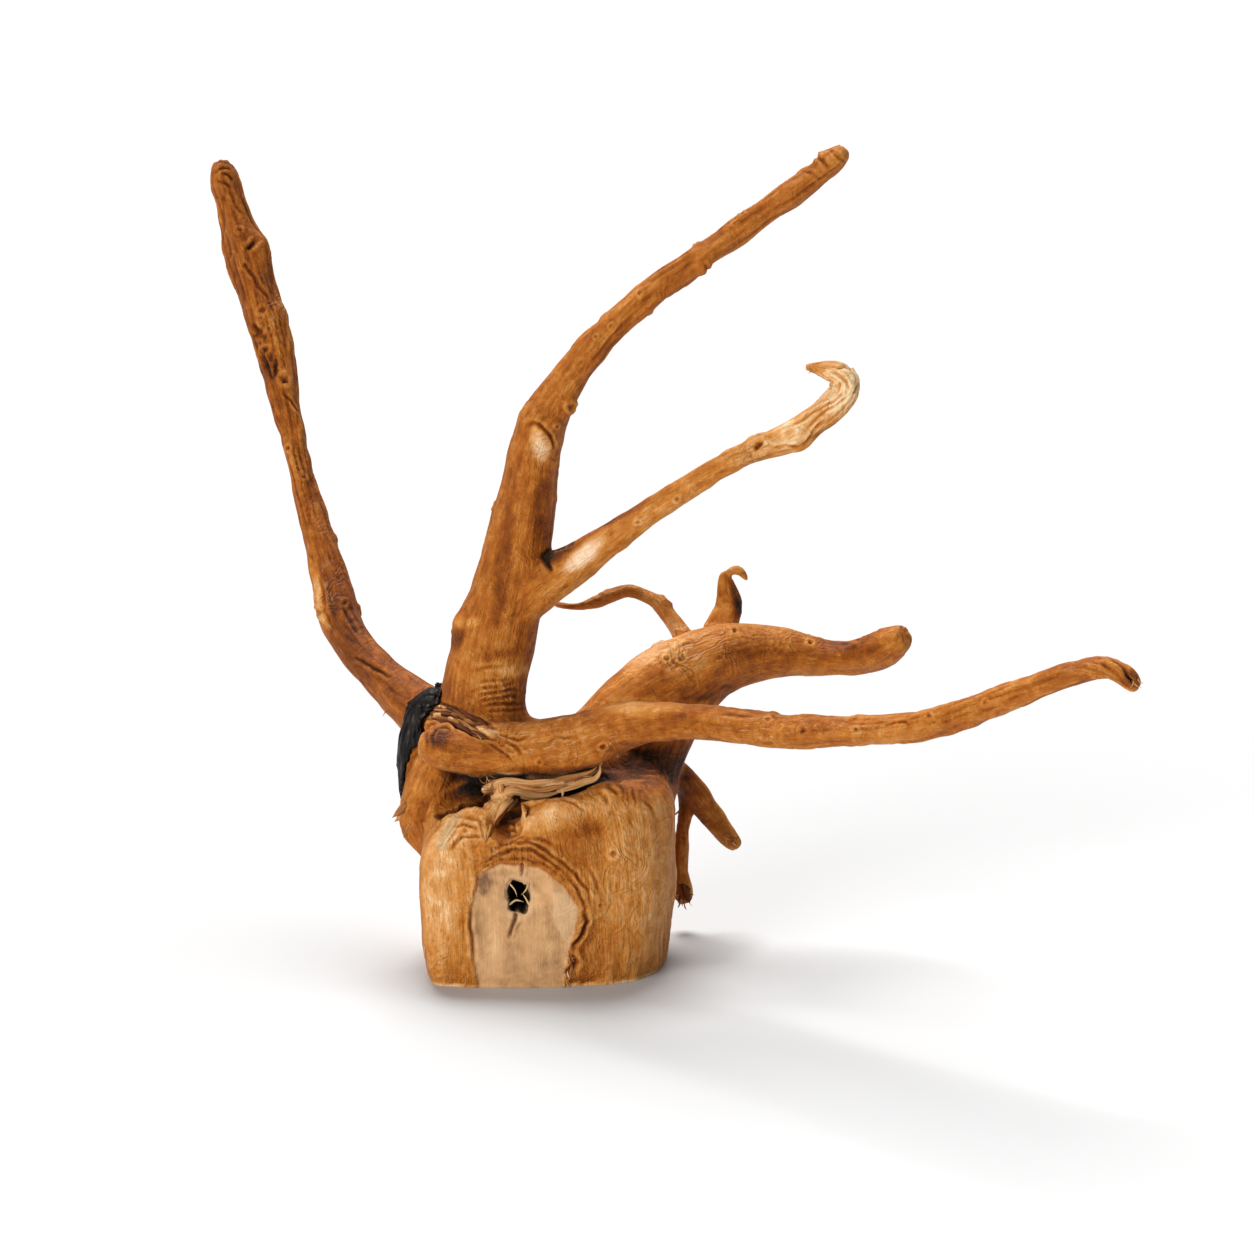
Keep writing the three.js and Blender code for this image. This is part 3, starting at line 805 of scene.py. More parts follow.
from_heart = np.stack([spots[:, 0] - HEART[0], spots[:, 2] - HEART[1]], axis=1)
turn = np.arctan2(from_heart[:, 1], from_heart[:, 0])
ragged = noise(np.stack([2.2 * np.cos(turn), 2.2 * np.sin(turn), spots[:, 1] / 4], axis=1), 58, 2)
reach = np.hypot(from_heart[:, 0] / HEART_HALF[0], from_heart[:, 1] / HEART_HALF[1])
at_rim = smooth_step(reach, 1.8, 1.1) * smooth_step(reach, 0.3, 0.8) * (spots[:, 1] < HOLE_END_Y)
spots[:, [0, 2]] += from_heart / reach[:, None].clip(0.3) * ((0.15 + 0.24 * ragged) * at_rim)[:, None]
put_spots(net, spots)
print("relief: from", total.min().round(2), "to", total.max().round(2), "mm")

# %% [markdown]
# ## Saw the base and thin out the net
# The saw cut is a plane, so the net is cut with one and the hole is closed with a flat face. A few
# hundred thousand triangles are more than the flat stretches need, so they are merged where the
# surface is even and kept where it is carved. The sides and the back carry fewer fine marks than the
# front, so they are thinned first.

# %% Saw and thin out
TRIANGLES = 197000
UNSEEN_TRIANGLES = 58000
WEIGHT_LEVELS = 10


def sawn_off(mesh):
    """The mesh cut flat at the floor, with the cut closed."""
    work = bmesh.new()
    work.from_mesh(mesh)
    cut = bmesh.ops.bisect_plane(
        work, geom=work.verts[:] + work.edges[:] + work.faces[:],
        plane_co=(0, 0, 0), plane_no=(0, 0, 1), clear_inner=True,
    )["geom_cut"]
    rim = [part for part in cut if isinstance(part, bmesh.types.BMEdge)]
    bmesh.ops.contextual_create(work, geom=rim)
    bmesh.ops.triangulate(work, faces=[face for face in work.faces if len(face.verts) > 4])
    bmesh.ops.triangulate(work, faces=work.faces)
    bmesh.ops.recalc_face_normals(work, faces=work.faces)
    work.to_mesh(mesh)
    work.free()
    return mesh


fine_net = net.copy()
net = sawn_off(net)
spots = spots_of(net)
_, share = seen_share(spots, normals_of(net))
carrier = bpy.data.objects.new("weights", net)
group = carrier.vertex_groups.new(name="unseen")
for level in range(1, WEIGHT_LEVELS + 1):
    picked = np.flatnonzero(np.ceil((1 - share) * WEIGHT_LEVELS) == level)
    group.add(picked.tolist(), level / WEIGHT_LEVELS, "REPLACE")
bpy.data.objects.remove(carrier)
first_ratio = np.mean(share > 0.5) + UNSEEN_TRIANGLES / len(net.polygons)
net = finished(net, "thinning", [
    ("DECIMATE", {"ratio": first_ratio, "vertex_group": "unseen"}),
    ("DECIMATE", {"ratio": TRIANGLES / len(net.polygons) / first_ratio}),
])
faces = np.empty(len(net.polygons) * 3, np.int32)
net.loops.foreach_get("vertex_index", faces)
faces = faces.reshape(-1, 3)
print("skin:", len(net.polygons), "triangles")

# %% [markdown]
# ## How open each point lies
# Deep in the cleft and in the corners little light gets in, so the colour there is darkened as
# painted shade. A renderer finds such places in its own shading; here they are painted into the
# colour instead. So from every point a few rays are sent out, and the share that meets no wood is
# kept as a number.

# %% Send out rays
RAYS = 26
RAY_REACH = 32.0
RAY_START = 0.3
LEAST_FACING = 0.12
spots = spots_of(net)
outward = normals_of(net)
wood_tree = BVHTree.FromPolygons(spots.tolist(), faces.tolist())
golden = math.pi * (3 - math.sqrt(5))
heights = 1 - 2 * (np.arange(RAYS) + 0.5) / RAYS
rings = np.sqrt(1 - heights**2)
turns = golden * np.arange(RAYS)
ways = np.stack([rings * np.cos(turns), rings * np.sin(turns), heights], axis=1)
facing = outward @ ways.T > LEAST_FACING
way_vectors = [Vector(way) for way in ways]
openness = np.ones(len(spots))
for index, start in enumerate((spots + RAY_START * outward).tolist()):
    tried = np.flatnonzero(facing[index])
    met = sum(wood_tree.ray_cast(start, way_vectors[k], RAY_REACH)[0] is not None for k in tried)
    openness[index] = 1 - met / max(1, len(tried))
net_pairs = pairs_of(net)
for _ in range(2):
    openness += 0.6 * pull_of(openness[:, None], net_pairs)[:, 0]
print("openness: half of the points have more than", np.median(openness).round(2))

# %% [markdown]
# ## Where the colours change
# The colours of one root differ more than its shape does: the branch is pale, the left root dark,
# the old scar dull. The cleft and the hole are painted nearly black and the creases darker, as
# painted shade. Painting them by hand would need a flat unwrapped picture. Here each point gets a
# few numbers from its place instead, and the material mixes its colours by them.

# %% The tones of the roots and their patches
ROOT_TONE = {
    "stump": 0.06, "crown": 0.02, "column": -0.08, "upright": -0.02, "left": -0.10, "branch": 0.10,
    "front": -0.01, "thick": 0.05, "curl": 0.06, "stub": 0.06, "slab": 0.02, "hanging": 0.04,
    "flange": 0.0, "bark": -0.1, "tongue": 0.2, "flake": 0.22,
}
# Pale and dark patches: column, row, half width and half height in pixels, turn in degrees, tone.
# Some are the wood's own tone and others painted light and shade: pale on upper sides and swellings
# where light falls, dark below bumps, in creases, along the lower edge of the front root, in the
# middle of its broken bulb and on the wall under that root.
TONE_AND_SHADE_PATCHES = [
    (539, 445, 8, 17, -20, 0.4), (584, 556, 26, 8, -38, 0.3), (600, 524, 62, 8, -31, -0.42),
    (560, 552, 16, 8, -40, -0.35), (548, 560, 6, 9, 0, -0.4), (519, 671, 26, 6, -4, 0.2),
    (500, 655, 24, 6, -6, -0.14), (503, 560, 7, 60, 6, -0.14), (541, 510, 9, 44, 3, -0.2),
    (455, 640, 7, 11, 0, -0.12), (466, 622, 16, 6, 0, 0.2), (546, 820, 34, 13, -12, 0.14),
    (584, 826, 18, 12, -20, -0.12), (440, 915, 20, 60, 3, 0.14), (640, 870, 26, 36, 0, -0.05),
    (660, 800, 12, 20, 0, 0.12), (620, 945, 30, 26, 20, -0.08), (438, 738, 12, 11, 0, -0.34),
    (470, 750, 30, 14, 0, -0.06), (700, 660, 34, 16, -30, 0.14), (735, 655, 36, 12, 4, -0.08),
    (800, 660, 34, 8, 5, -0.06), (812, 642, 9, 7, 0, 0.14), (895, 640, 18, 12, -20, 0.16),
    (850, 646, 34, 7, 8, -0.1), (640, 706, 50, 8, 0, 0.14), (560, 735, 40, 14, -8, 0.1),
    (655, 772, 48, 28, 0, -0.24), (320, 598, 7, 34, -12, 0.3), (268, 366, 9, 16, -12, -0.2),
    (292, 400, 6, 26, -20, 0.16), (738, 598, 8, 20, 0, -0.45), (742, 610, 8, 8, 0, -0.2),
    (487, 665, 36, 36, 0, 0.17), (450, 905, 34, 90, 0, 0.07), (630, 900, 44, 90, 0, 0.18),
    (560, 815, 60, 26, -10, 0.08), (845, 385, 30, 28, -50, 0.36), (800, 425, 40, 18, -38, 0.2),
    (297, 455, 14, 40, -12, 0.12), (343, 620, 18, 60, -20, -0.14), (262, 285, 20, 26, 0, -0.06),
    (600, 728, 60, 24, 0, -0.05), (655, 762, 40, 20, 0, -0.1), (270, 310, 24, 90, -10, 0.07),
    (1132, 678, 9, 10, 40, -0.25), (870, 640, 60, 24, 0, -0.1), (780, 650, 60, 24, 0, -0.05),
    (700, 690, 70, 30, -20, -0.06), (655, 650, 34, 15, -38, 0.22), (700, 704, 60, 10, -25, -0.1),
    (676, 850, 5, 50, 0, 0.15), (690, 900, 14, 8, 0, -0.25), (552, 770, 60, 5, -2, -0.1),
]
# Where small torn fibres lie pale on the wood: column, row, half width, half height, strength.
FLECKS = [
    (680, 655, 26, 22, 0.5), (760, 728, 60, 14, 0.5), (850, 728, 50, 10, 0.4), (640, 830, 44, 60, 0.35),
    (560, 700, 46, 20, 0.5), (537, 445, 12, 20, 0.8), (510, 850, 40, 18, 0.5), (500, 690, 40, 14, 0.5),
    (745, 455, 18, 12, 0.9), (830, 400, 36, 40, 0.5), (325, 600, 14, 40, 0.6), (270, 300, 20, 60, 0.4),
    (600, 920, 60, 60, 0.35), (460, 830, 26, 20, 0.7), (560, 740, 80, 26, 0.6), (690, 640, 60, 40, 0.6),
]


def patch_sum(place, patches):
    """The sum of soft patches: each has a middle, two half sizes in pixels, a turn and an amount."""
    total = np.zeros(len(place))
    for column, row, half_width, half_height, turn, amount in patches:
        c, s = math.cos(math.radians(turn)), math.sin(math.radians(turn))
        across, down = place[:, 0] - column, place[:, 1] - row
        reach = ((across * c + down * s) / half_width) ** 2 + ((down * c - across * s) / half_height) ** 2
        total += amount * np.exp(-(reach**2))
    return total


def give(mesh, name, values, kind="FLOAT", domain="POINT"):
    """Stores one number, or three, for every point or corner, for the material to read."""
    layer = mesh.attributes.new(name, kind, domain)
    key = "vector" if kind == "FLOAT_VECTOR" else "value"
    layer.data.foreach_set(key, np.ascontiguousarray(values, np.float32).ravel())


# %% Work out tone and painted shade for each point
# In mm: the sizes of the clouds in the colour, the bend of the skin that counts as fully hollow, and
# how far the tone of one root reaches into the next.
WARP_MM = 9
CLOUD_MM = 6.5
WIDE_MM = 24
HOLLOW_MM = 0.055
BLEND_MM = 2.5
place, share = seen_share(spots, outward)
gaps, places, order, weight = grain_of(spots)
root_tone = np.array([ROOT_TONE[name] for name in NAMES])
nearness = np.exp(-np.maximum(gaps, -1.0) / BLEND_MM)
own_tone = nearness @ root_tone / nearness.sum(1)
_, mark_shade = carve_marks(place, share)
mark_shade = np.maximum(mark_shade, carve_back_knots(spots)[1])
_, fold_shade, scar_gap = carve_scar(place, share)

bend = np.sum(pull_of(spots, net_pairs) * outward, axis=1)
for _ in range(2):
    bend += 0.7 * pull_of(bend[:, None], net_pairs)[:, 0]
hollow_shading = np.clip(bend / HOLLOW_MM, -1, 1) * (0.3 + 0.7 * share)

warp = drift(spots / WARP_MM, (61, 62, 63), 2)
cloud = noise(spots / CLOUD_MM + 0.9 * warp, 71, 2)
wide = noise(spots / WIDE_MM, 72, 2)
streaky = by_root(STREAKY, STREAKY_USUAL, order)
streak, fine_streak = (with_grain(places, order, weight, *layer) for layer in (STREAK, FINE_STREAK))
# A tone of 0 is nearly black and one of 1 the palest wood.
tone = (
    0.5 + own_tone + share * patch_sum(place, TONE_AND_SHADE_PATCHES)
    + 0.05 * cloud + 0.05 * wide + streaky * (0.06 * streak + 0.03 * fine_streak)
    # Painted shade and light: darker in hollows and where little is open, lighter on ridges, and paler just
    # over the floor as a painted highlight along the sawn edge.
    - 0.16 * np.maximum(hollow_shading, 0) + 0.12 * np.maximum(-hollow_shading, 0)
    - 0.22 * smooth_step(openness, 0.75, 0.2) + 0.2 * smooth_step(spots[:, 2], 1.4, 0.3)
)

# %% Work out what is torn or scarred, and the painted shade in the cleft and the rotten hole
# The painted shade of the cleft fades out over these places, in mm.
CLEFT_TOP_Z = (68, 62)
CLEFT_FOOT_Z = (48, 53)
CLEFT_RIGHT_X = (19.5, 16.5)
HOLE_RIM_Y = -20
SHADE_MM = 1.5
SCAR_CLOUD_MM = (3, 3, 8)
SCAR_GRIT_MM = 1.3
SCAR_PATCHES = [(486, 884, 8, 14, 25, -0.34), (504, 875, 13, 4, 0, -0.2), (492, 950, 12, 36, 0, 0.1)]
CHALK_PATCHES = [
    (584, 556, 22, 7, -38, 1.3), (650, 644, 34, 14, -40, 0.3), (538, 447, 6, 14, -20, 0.4),
]
cleft_gap, _ = follow(spots, CLEFT)
in_cleft = smooth_step(cleft_gap, 3.5, 1.0) * smooth_step(spots[:, 2], *CLEFT_TOP_Z)
cleft_shade = in_cleft * smooth_step(openness, 0.6, 0.28) * (0.25 + 0.75 * smooth_step(spots[:, 2], *CLEFT_FOOT_Z))
cleft_shade *= smooth_step(spots[:, 0], *CLEFT_RIGHT_X)
reach_x, reach_z = (spots[:, 0] - HEART[0]) / HEART_HALF[0], (spots[:, 2] - HEART[1]) / HEART_HALF[1]
from_heart = np.hypot(reach_x, reach_z)
# Inside the rotten hole the wood is painted nearly black as its shade, where little is open.
hole_shade = smooth_step(from_heart, 1.25, 1.0) * smooth_step(openness, 0.72, 0.4) * (spots[:, 1] < HOLE_END_Y)
rim = smooth_step(from_heart, 1.55, 1.25) * smooth_step(from_heart, 0.8, 1.05) * (spots[:, 1] < HOLE_RIM_Y)
shade = 0.6 + 0.4 * noise(spots / SHADE_MM, 75)
torn_fibre = tear(place, spots)
torn = smooth_step(from_outline(place, TORN), 0.5, -0.5) * share
# The gaps between the torn fibres are painted dark as their shade.
torn_gap_shade = 0.8 * torn * smooth_step(torn_fibre, -0.1, -0.9)
shred, shred_fibre = shredded(gaps, places)
torn_tone = np.where(shred > torn, 0.62 + 0.55 * shred_fibre, 0.45 + 0.45 * torn_fibre)

flecked = [(column, row, width, height, 0, amount) for column, row, width, height, amount in FLECKS]
scar_cloud = noise(spots / np.array(SCAR_CLOUD_MM) + 0.7 * warp, 76, 2)
scar_grit = noise(spots / SCAR_GRIT_MM + 0.5 * warp, 77, 2)
scar_tone = 0.42 + 0.18 * scar_cloud + 0.15 * scar_grit + patch_sum(place, SCAR_PATCHES)

# %% Hand the numbers to the material
give(net, "tone", tone)
for name, values in {
    # Painted shade: nearly black in the cleft and the rotten hole, dark in grooves, pits, the creases of the
    # folds and the gaps between torn fibres.
    "dark": np.maximum(cleft_shade, hole_shade),
    "crease_shade": np.max([mark_shade * shade, fold_shade * shade, torn_gap_shade], axis=0),
    "scar": smooth_step(scar_gap, 0.4, -0.4) * share,
    "scar_tone": scar_tone,
    "layer": smooth_step(from_outline(place, PALE_LAYER), 0.3, -0.3) * share + 0.8 * rim,
    "torn": np.maximum(torn, 0.85 * shred * (1 - cleft_shade)),
    "torn_tone": torn_tone,
    "dry": smooth_step(from_outline(place, DRY_PATCH), 0.6, -0.6) * share,
    "chalky": share * patch_sum(place, CHALK_PATCHES),
    "fleck": 0.12 + share * patch_sum(place, flecked),
    "sawn": smooth_step(-outward[:, 2], 0.8, 0.95) * (spots[:, 2] < 0.01),
}.items():
    give(net, name, np.clip(values, 0, 1))

# Here too each root reads another part of the noise, and two roots fade into each other.
ROOT_SHIFT_MM = 37.0
FADE_MM = 6
corner_spot = faces.ravel()
face_order = np.argsort(gaps[faces].mean(axis=1), axis=1)[:, :2]
corner_order = np.repeat(face_order, 3, axis=0)
first = places[corner_spot, corner_order[:, 0]] + corner_order[:, :1] * ROOT_SHIFT_MM
second = places[corner_spot, corner_order[:, 1]] + corner_order[:, 1:] * ROOT_SHIFT_MM
lead = gaps[corner_spot, corner_order[:, 1]] - gaps[corner_spot, corner_order[:, 0]]
give(net, "grain_first", first, "FLOAT_VECTOR", "CORNER")
give(net, "grain_second", second, "FLOAT_VECTOR", "CORNER")
give(net, "grain_share", np.clip(0.5 + lead / FADE_MM, 0, 1), "FLOAT", "CORNER")
print("tone: from", tone.min().round(2), "to", tone.max().round(2))

# %% [markdown]
# ## The material: bare dried root wood
# Spiderwood is dense heather-like wood, dried until it is hard and blown clean with sand. Sand takes
# the soft wood away and polishes the hard ridges a little, so it is matt in the hollows and has a
# faint satin shine on the ridges. Its brown comes from bog tannins, which is why it is streaked
# from honey to burnt orange and never one colour.

# %% A function for colours and one for nodes


def linear(code):
    """The linear colour of an sRGB hex code."""
    parts = [int(code[i:i + 2], 16) / 255 for i in (1, 3, 5)]
    return tuple(c / 12.92 if c <= 0.04045 else ((c + 0.055) / 1.055) ** 2.4 for c in parts) + (1.0,)


def add(tree, kind, sockets, out=0, steps=(), **settings):
    """Adds a node with its settings, links and colour steps, and gives one of its outputs."""
    node = tree.nodes.new("ShaderNode" + kind)
    for key, value in settings.items():
        setattr(node, key, value)
    for key, value in sockets.items():
        if isinstance(value, bpy.types.NodeSocket):
            tree.links.new(value, node.inputs[key])
        else:
            node.inputs[key].default_value = value
    for number, (position, code) in enumerate(steps):
        marks = node.color_ramp.elements
        mark = marks[number] if number < len(marks) else marks.new(position)
        mark.position, mark.color = position, linear(code)
    return node.outputs[out]


def blank_material(name, sockets):
    """A material, its nodes and its shader, with the sockets that are the same all over it."""
    material = bpy.data.materials.new(name)
    material.use_nodes = True
    shader = material.node_tree.nodes["Principled BSDF"]
    for key, value in sockets.items():
        shader.inputs[key].default_value = value
    return material, material.node_tree, shader


# %% Patterns in the wood
# Length and width in mm of what runs with the grain, and the size of what doesn't.
FIBRE_MM = (9.0, 0.55)
STREAK_MM = (26.0, 1.8)
PORE_MM = (2.6, 0.5)
FLECK_MM = (3.4, 0.8)
SCRATCH_MM = (7.0, 0.9)
MOTTLE_MM = 3.2
SHEET_MM = 9.0
SHEETS = 8.0


def along_grain(tree, size, detail):
    """A noise stretched along the roots: size is its length and width in mm."""
    scale = (1 / size[0], 1 / size[1], 1 / size[1])
    heights = []
    for layer in ("grain_first", "grain_second"):
        read = add(tree, "Attribute", {}, "Vector", attribute_name=layer)
        sized = add(tree, "Mapping", {"Vector": read, "Scale": scale})
        sockets = {"Vector": sized, "Scale": 1.0, "Detail": detail, "Roughness": 0.55}
        heights.append(add(tree, "TexNoise", sockets))
    share_of = add(tree, "Attribute", {}, "Fac", attribute_name="grain_share")
    return add(tree, "Mix", {"Factor": share_of, "A": heights[1], "B": heights[0]})


def wood_patterns(tree, read):
    """The patterns that the wood's colour and its relief share."""
    spot = add(tree, "TexCoord", {}, "Object")
    sockets = {"Vector": spot, "Scale": 1 / (MOTTLE_MM * MM), "Detail": 5.0, "Roughness": 0.68}
    mottle = add(tree, "TexNoise", sockets)
    sockets = {"Vector": spot, "Scale": 1 / (SHEET_MM * MM), "Detail": 2.0, "Distortion": 0.6}
    swell = add(tree, "TexNoise", sockets)
    # A slow swell folded into steps stands for thin sheets of wood, which have peeled at their edges.
    sheets = add(tree, "Math", {0: swell, 1: SHEETS}, operation="MULTIPLY")
    sheet = add(tree, "Math", {0: sheets, 1: 0.5}, operation="PINGPONG")
    edge = add(tree, "MapRange", {"Value": sheet, "From Min": 0.38, "From Max": 0.5, "To Max": 1.0})
    loose = add(tree, "MapRange", {"Value": mottle, "From Min": 0.44, "From Max": 0.56, "To Max": 1.0})
    edge = add(tree, "Math", {0: edge, 1: loose}, operation="MULTIPLY")
    # A scratch runs where a noise passes through its middle value.
    scratch = add(tree, "Math", {0: along_grain(tree, SCRATCH_MM, 2.0), 1: 0.5}, operation="SUBTRACT")
    scratch = add(tree, "Math", {0: scratch}, operation="ABSOLUTE")
    sockets = {"Value": scratch, "From Min": 0.022, "From Max": 0.0, "To Max": 1.0}
    scratch = add(tree, "MapRange", sockets)
    pores = along_grain(tree, PORE_MM, 1.0)
    sockets = {"Value": pores, "From Min": 0.64, "From Max": 0.8, "To Max": 0.45}
    pores = add(tree, "MapRange", sockets, interpolation_type="SMOOTHSTEP")
    # Pale torn fibres cover more of the noise where there are more of them.
    flecks = along_grain(tree, FLECK_MM, 2.0)
    start = add(tree, "Math", {0: read["fleck"], 1: -0.24, 2: 0.76}, operation="MULTIPLY_ADD")
    end = add(tree, "Math", {0: start, 1: 0.07}, operation="ADD")
    sockets = {"Value": flecks, "From Min": start, "From Max": end, "To Max": 0.28}
    flecks = add(tree, "MapRange", sockets, interpolation_type="SMOOTHSTEP")
    return {
        "spot": spot, "mottle": mottle, "sheet": sheet, "pores": pores, "flecks": flecks,
        "fibre": along_grain(tree, FIBRE_MM, 4.0),
        "streaks": along_grain(tree, STREAK_MM, 5.0),
        "edge": add(tree, "Math", {0: edge, 1: read["fleck"]}, operation="MULTIPLY"),
        "scratch": add(tree, "Math", {0: scratch, 1: loose}, operation="MULTIPLY"),
    }


# %% Colours of the wood
WOOD_STEPS = [
    (0.0, "#220E02"), (0.2, "#532500"), (0.4, "#8A4609"), (0.52, "#A75E17"),
    (0.66, "#C27D34"), (0.82, "#DBA062"), (1.0, "#F5D3A3"),
]
TONE_MIDDLE = 0.45
TONE_AMOUNTS = {"fibre": 0.2, "streaks": 0.2, "mottle": 0.5, "scratch": -0.07}
FACE_STEPS = {
    "scar": [(0.1, "#7A563A"), (0.4, "#B98D60"), (0.6, "#CE9E6D"), (0.9, "#E2B683")],
    "torn": [(0.25, "#3A1A0A"), (0.5, "#7C4520"), (0.75, "#B4783F"), (1.0, "#E0AE76")],
    "dry": [(0.35, "#7A5936"), (0.5, "#C4A274"), (0.7, "#E6CFA4")],
    "sawn": [(0.1, "#8A6236"), (0.5, "#B08552"), (0.9, "#C29A66")],
}
# Real growth rings are under 1 mm apart and wouldn't show, so they are drawn 10 mm apart. The wave
# texture draws 20 / tau rings for each unit of its scale.
RING_MM = 10.05
RINGS_PER_UNIT = 20 / math.tau


def wood_colour(tree, pattern, read):
    """The brown of the wood by its tone, and over it each thing that covers it, in turn."""
    tone = add(tree, "Math", {0: read["tone"], 1: TONE_MIDDLE}, operation="SUBTRACT")
    for name, amount in TONE_AMOUNTS.items():
        tone = add(tree, "Math", {0: pattern[name], 1: amount, 2: tone}, operation="MULTIPLY_ADD")
    scale = 1 / (RING_MM * MM * RINGS_PER_UNIT)
    sockets = {"Vector": pattern["spot"], "Scale": scale, "Distortion": 3.0, "Detail": 2.0}
    rings = add(tree, "TexWave", sockets, "Fac", wave_type="RINGS", rings_direction="Z")
    fibre = pattern["fibre"]
    own_tone = {
        "scar": add(tree, "Math", {0: fibre, 1: 0.2, 2: read["scar_tone"]}, operation="MULTIPLY_ADD"),
        "torn": add(tree, "Math", {0: fibre, 1: 0.5, 2: read["torn_tone"]}, operation="MULTIPLY_ADD"),
        "dry": fibre,
        "sawn": rings,
    }
    face = {
        name: add(tree, "ValToRGB", {"Fac": own_tone[name]}, steps=steps)
        for name, steps in FACE_STEPS.items()
    }
    peeled, layer, dry, chalk = (
        add(tree, "Math", {0: cover, 1: amount}, operation="MULTIPLY")
        for cover, amount in (
            (pattern["edge"], 0.26), (read["layer"], 0.5), (read["dry"], 0.75),
            (pattern["mottle"], read["chalky"]),
        )
    )
    colour = add(tree, "ValToRGB", {"Fac": tone}, steps=WOOD_STEPS)
    for cover, over in (
        (peeled, linear("#EBC594")), (pattern["pores"], linear("#5A2E10")),
        (pattern["flecks"], linear("#E2BC8C")), (read["scar"], face["scar"]),
        (layer, linear("#D2B088")), (read["torn"], face["torn"]), (dry, face["dry"]),
        (chalk, linear("#F0D2B8")), (read["sawn"], face["sawn"]),
        # The last two are painted shade: dark brown in creases, nearly black in the cleft and the hole.
        (read["crease_shade"], linear("#3F1D08")), (read["dark"], linear("#100804")),
    ):
        colour = add(tree, "Mix", {0: cover, 6: colour, 7: over}, 2, data_type="RGBA")
    return colour


# %% Bare spiderwood
LIFT_AMOUNTS = {"streaks": 0.7, "pores": -0.5, "flecks": 0.5, "mottle": 1.5, "scratch": -0.35}
LIFT_MM = 0.6
# What each point of the skin was given above.
READ = (
    "tone", "dark", "crease_shade", "scar", "scar_tone", "layer", "torn", "torn_tone", "dry", "chalky",
    "fleck", "sawn",
)


def bare_wood():
    """Sandblasted spiderwood: honey to burnt orange, streaked along the grain, satin on its ridges."""
    material, tree, shader = blank_material("bare_spiderwood_sandblasted", {
        "IOR": 1.45, "Specular IOR Level": 0.18,
        "Sheen Weight": 0.08, "Sheen Roughness": 0.35, "Sheen Tint": linear("#FFE2BC"),
    })
    read = {name: add(tree, "Attribute", {}, "Fac", attribute_name=name) for name in READ}
    pattern = wood_patterns(tree, read)
    tree.links.new(wood_colour(tree, pattern, read), shader.inputs["Base Color"])
    fibre = pattern["fibre"]
    shine = add(tree, "Math", {0: fibre, 1: -0.25, 2: 0.72}, operation="MULTIPLY_ADD")
    tree.links.new(shine, shader.inputs["Roughness"])
    lift = fibre
    for name, amount in LIFT_AMOUNTS.items():
        lift = add(tree, "Math", {0: pattern[name], 1: amount, 2: lift}, operation="MULTIPLY_ADD")
    flow = add(tree, "Math", {0: read["fleck"], 1: 1.3, 2: 0.6}, operation="MULTIPLY_ADD")
    lift = add(tree, "Math", {0: pattern["sheet"], 1: flow, 2: lift}, operation="MULTIPLY_ADD")
    strength = add(tree, "Math", {0: read["scar"], 1: -0.5, 2: 0.85}, operation="MULTIPLY_ADD")
    bump = add(tree, "Bump", {"Height": lift, "Strength": strength, "Distance": LIFT_MM * MM})
    tree.links.new(bump, shader.inputs["Normal"])
    return material


wood = bare_wood()


def shown(mesh, name, material):
    """A piece with its material, that moves with the root."""
    mesh.materials.clear()
    mesh.materials.append(material)
    mesh.polygons.foreach_set("use_smooth", np.ones(len(mesh.polygons), bool))
    piece = bpy.data.objects.new(name, mesh)
    scene.collection.objects.link(piece)
    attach(piece, "root")
    return piece


root = shown(net, "bare_root", wood)
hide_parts("spiderwood_root")
print("material:", wood.name, len(wood.node_tree.nodes), "nodes")

# %% [markdown]
# ## The last piece of bark
# On the left a plate of dead bark still holds on: black, glossy and drawn into folds that run down
# the root. It could be a patch of colour, but its edge stands away from the wood and casts a shadow.
# So a copy of the skin is cut out where the bark lies, pushed out into folds and given a thickness.

# %% The bark plate
BARK_LIFT = 0.5
BARK_WALL = 0.9
BARK_TOP = 80.5
BARK_FOOT = 46.5
BARK_FACES = (-0.8, -0.5, 0.1)
RAGGED_MM = 3.2
FOLD_SIZE = (22.0, 1.9)


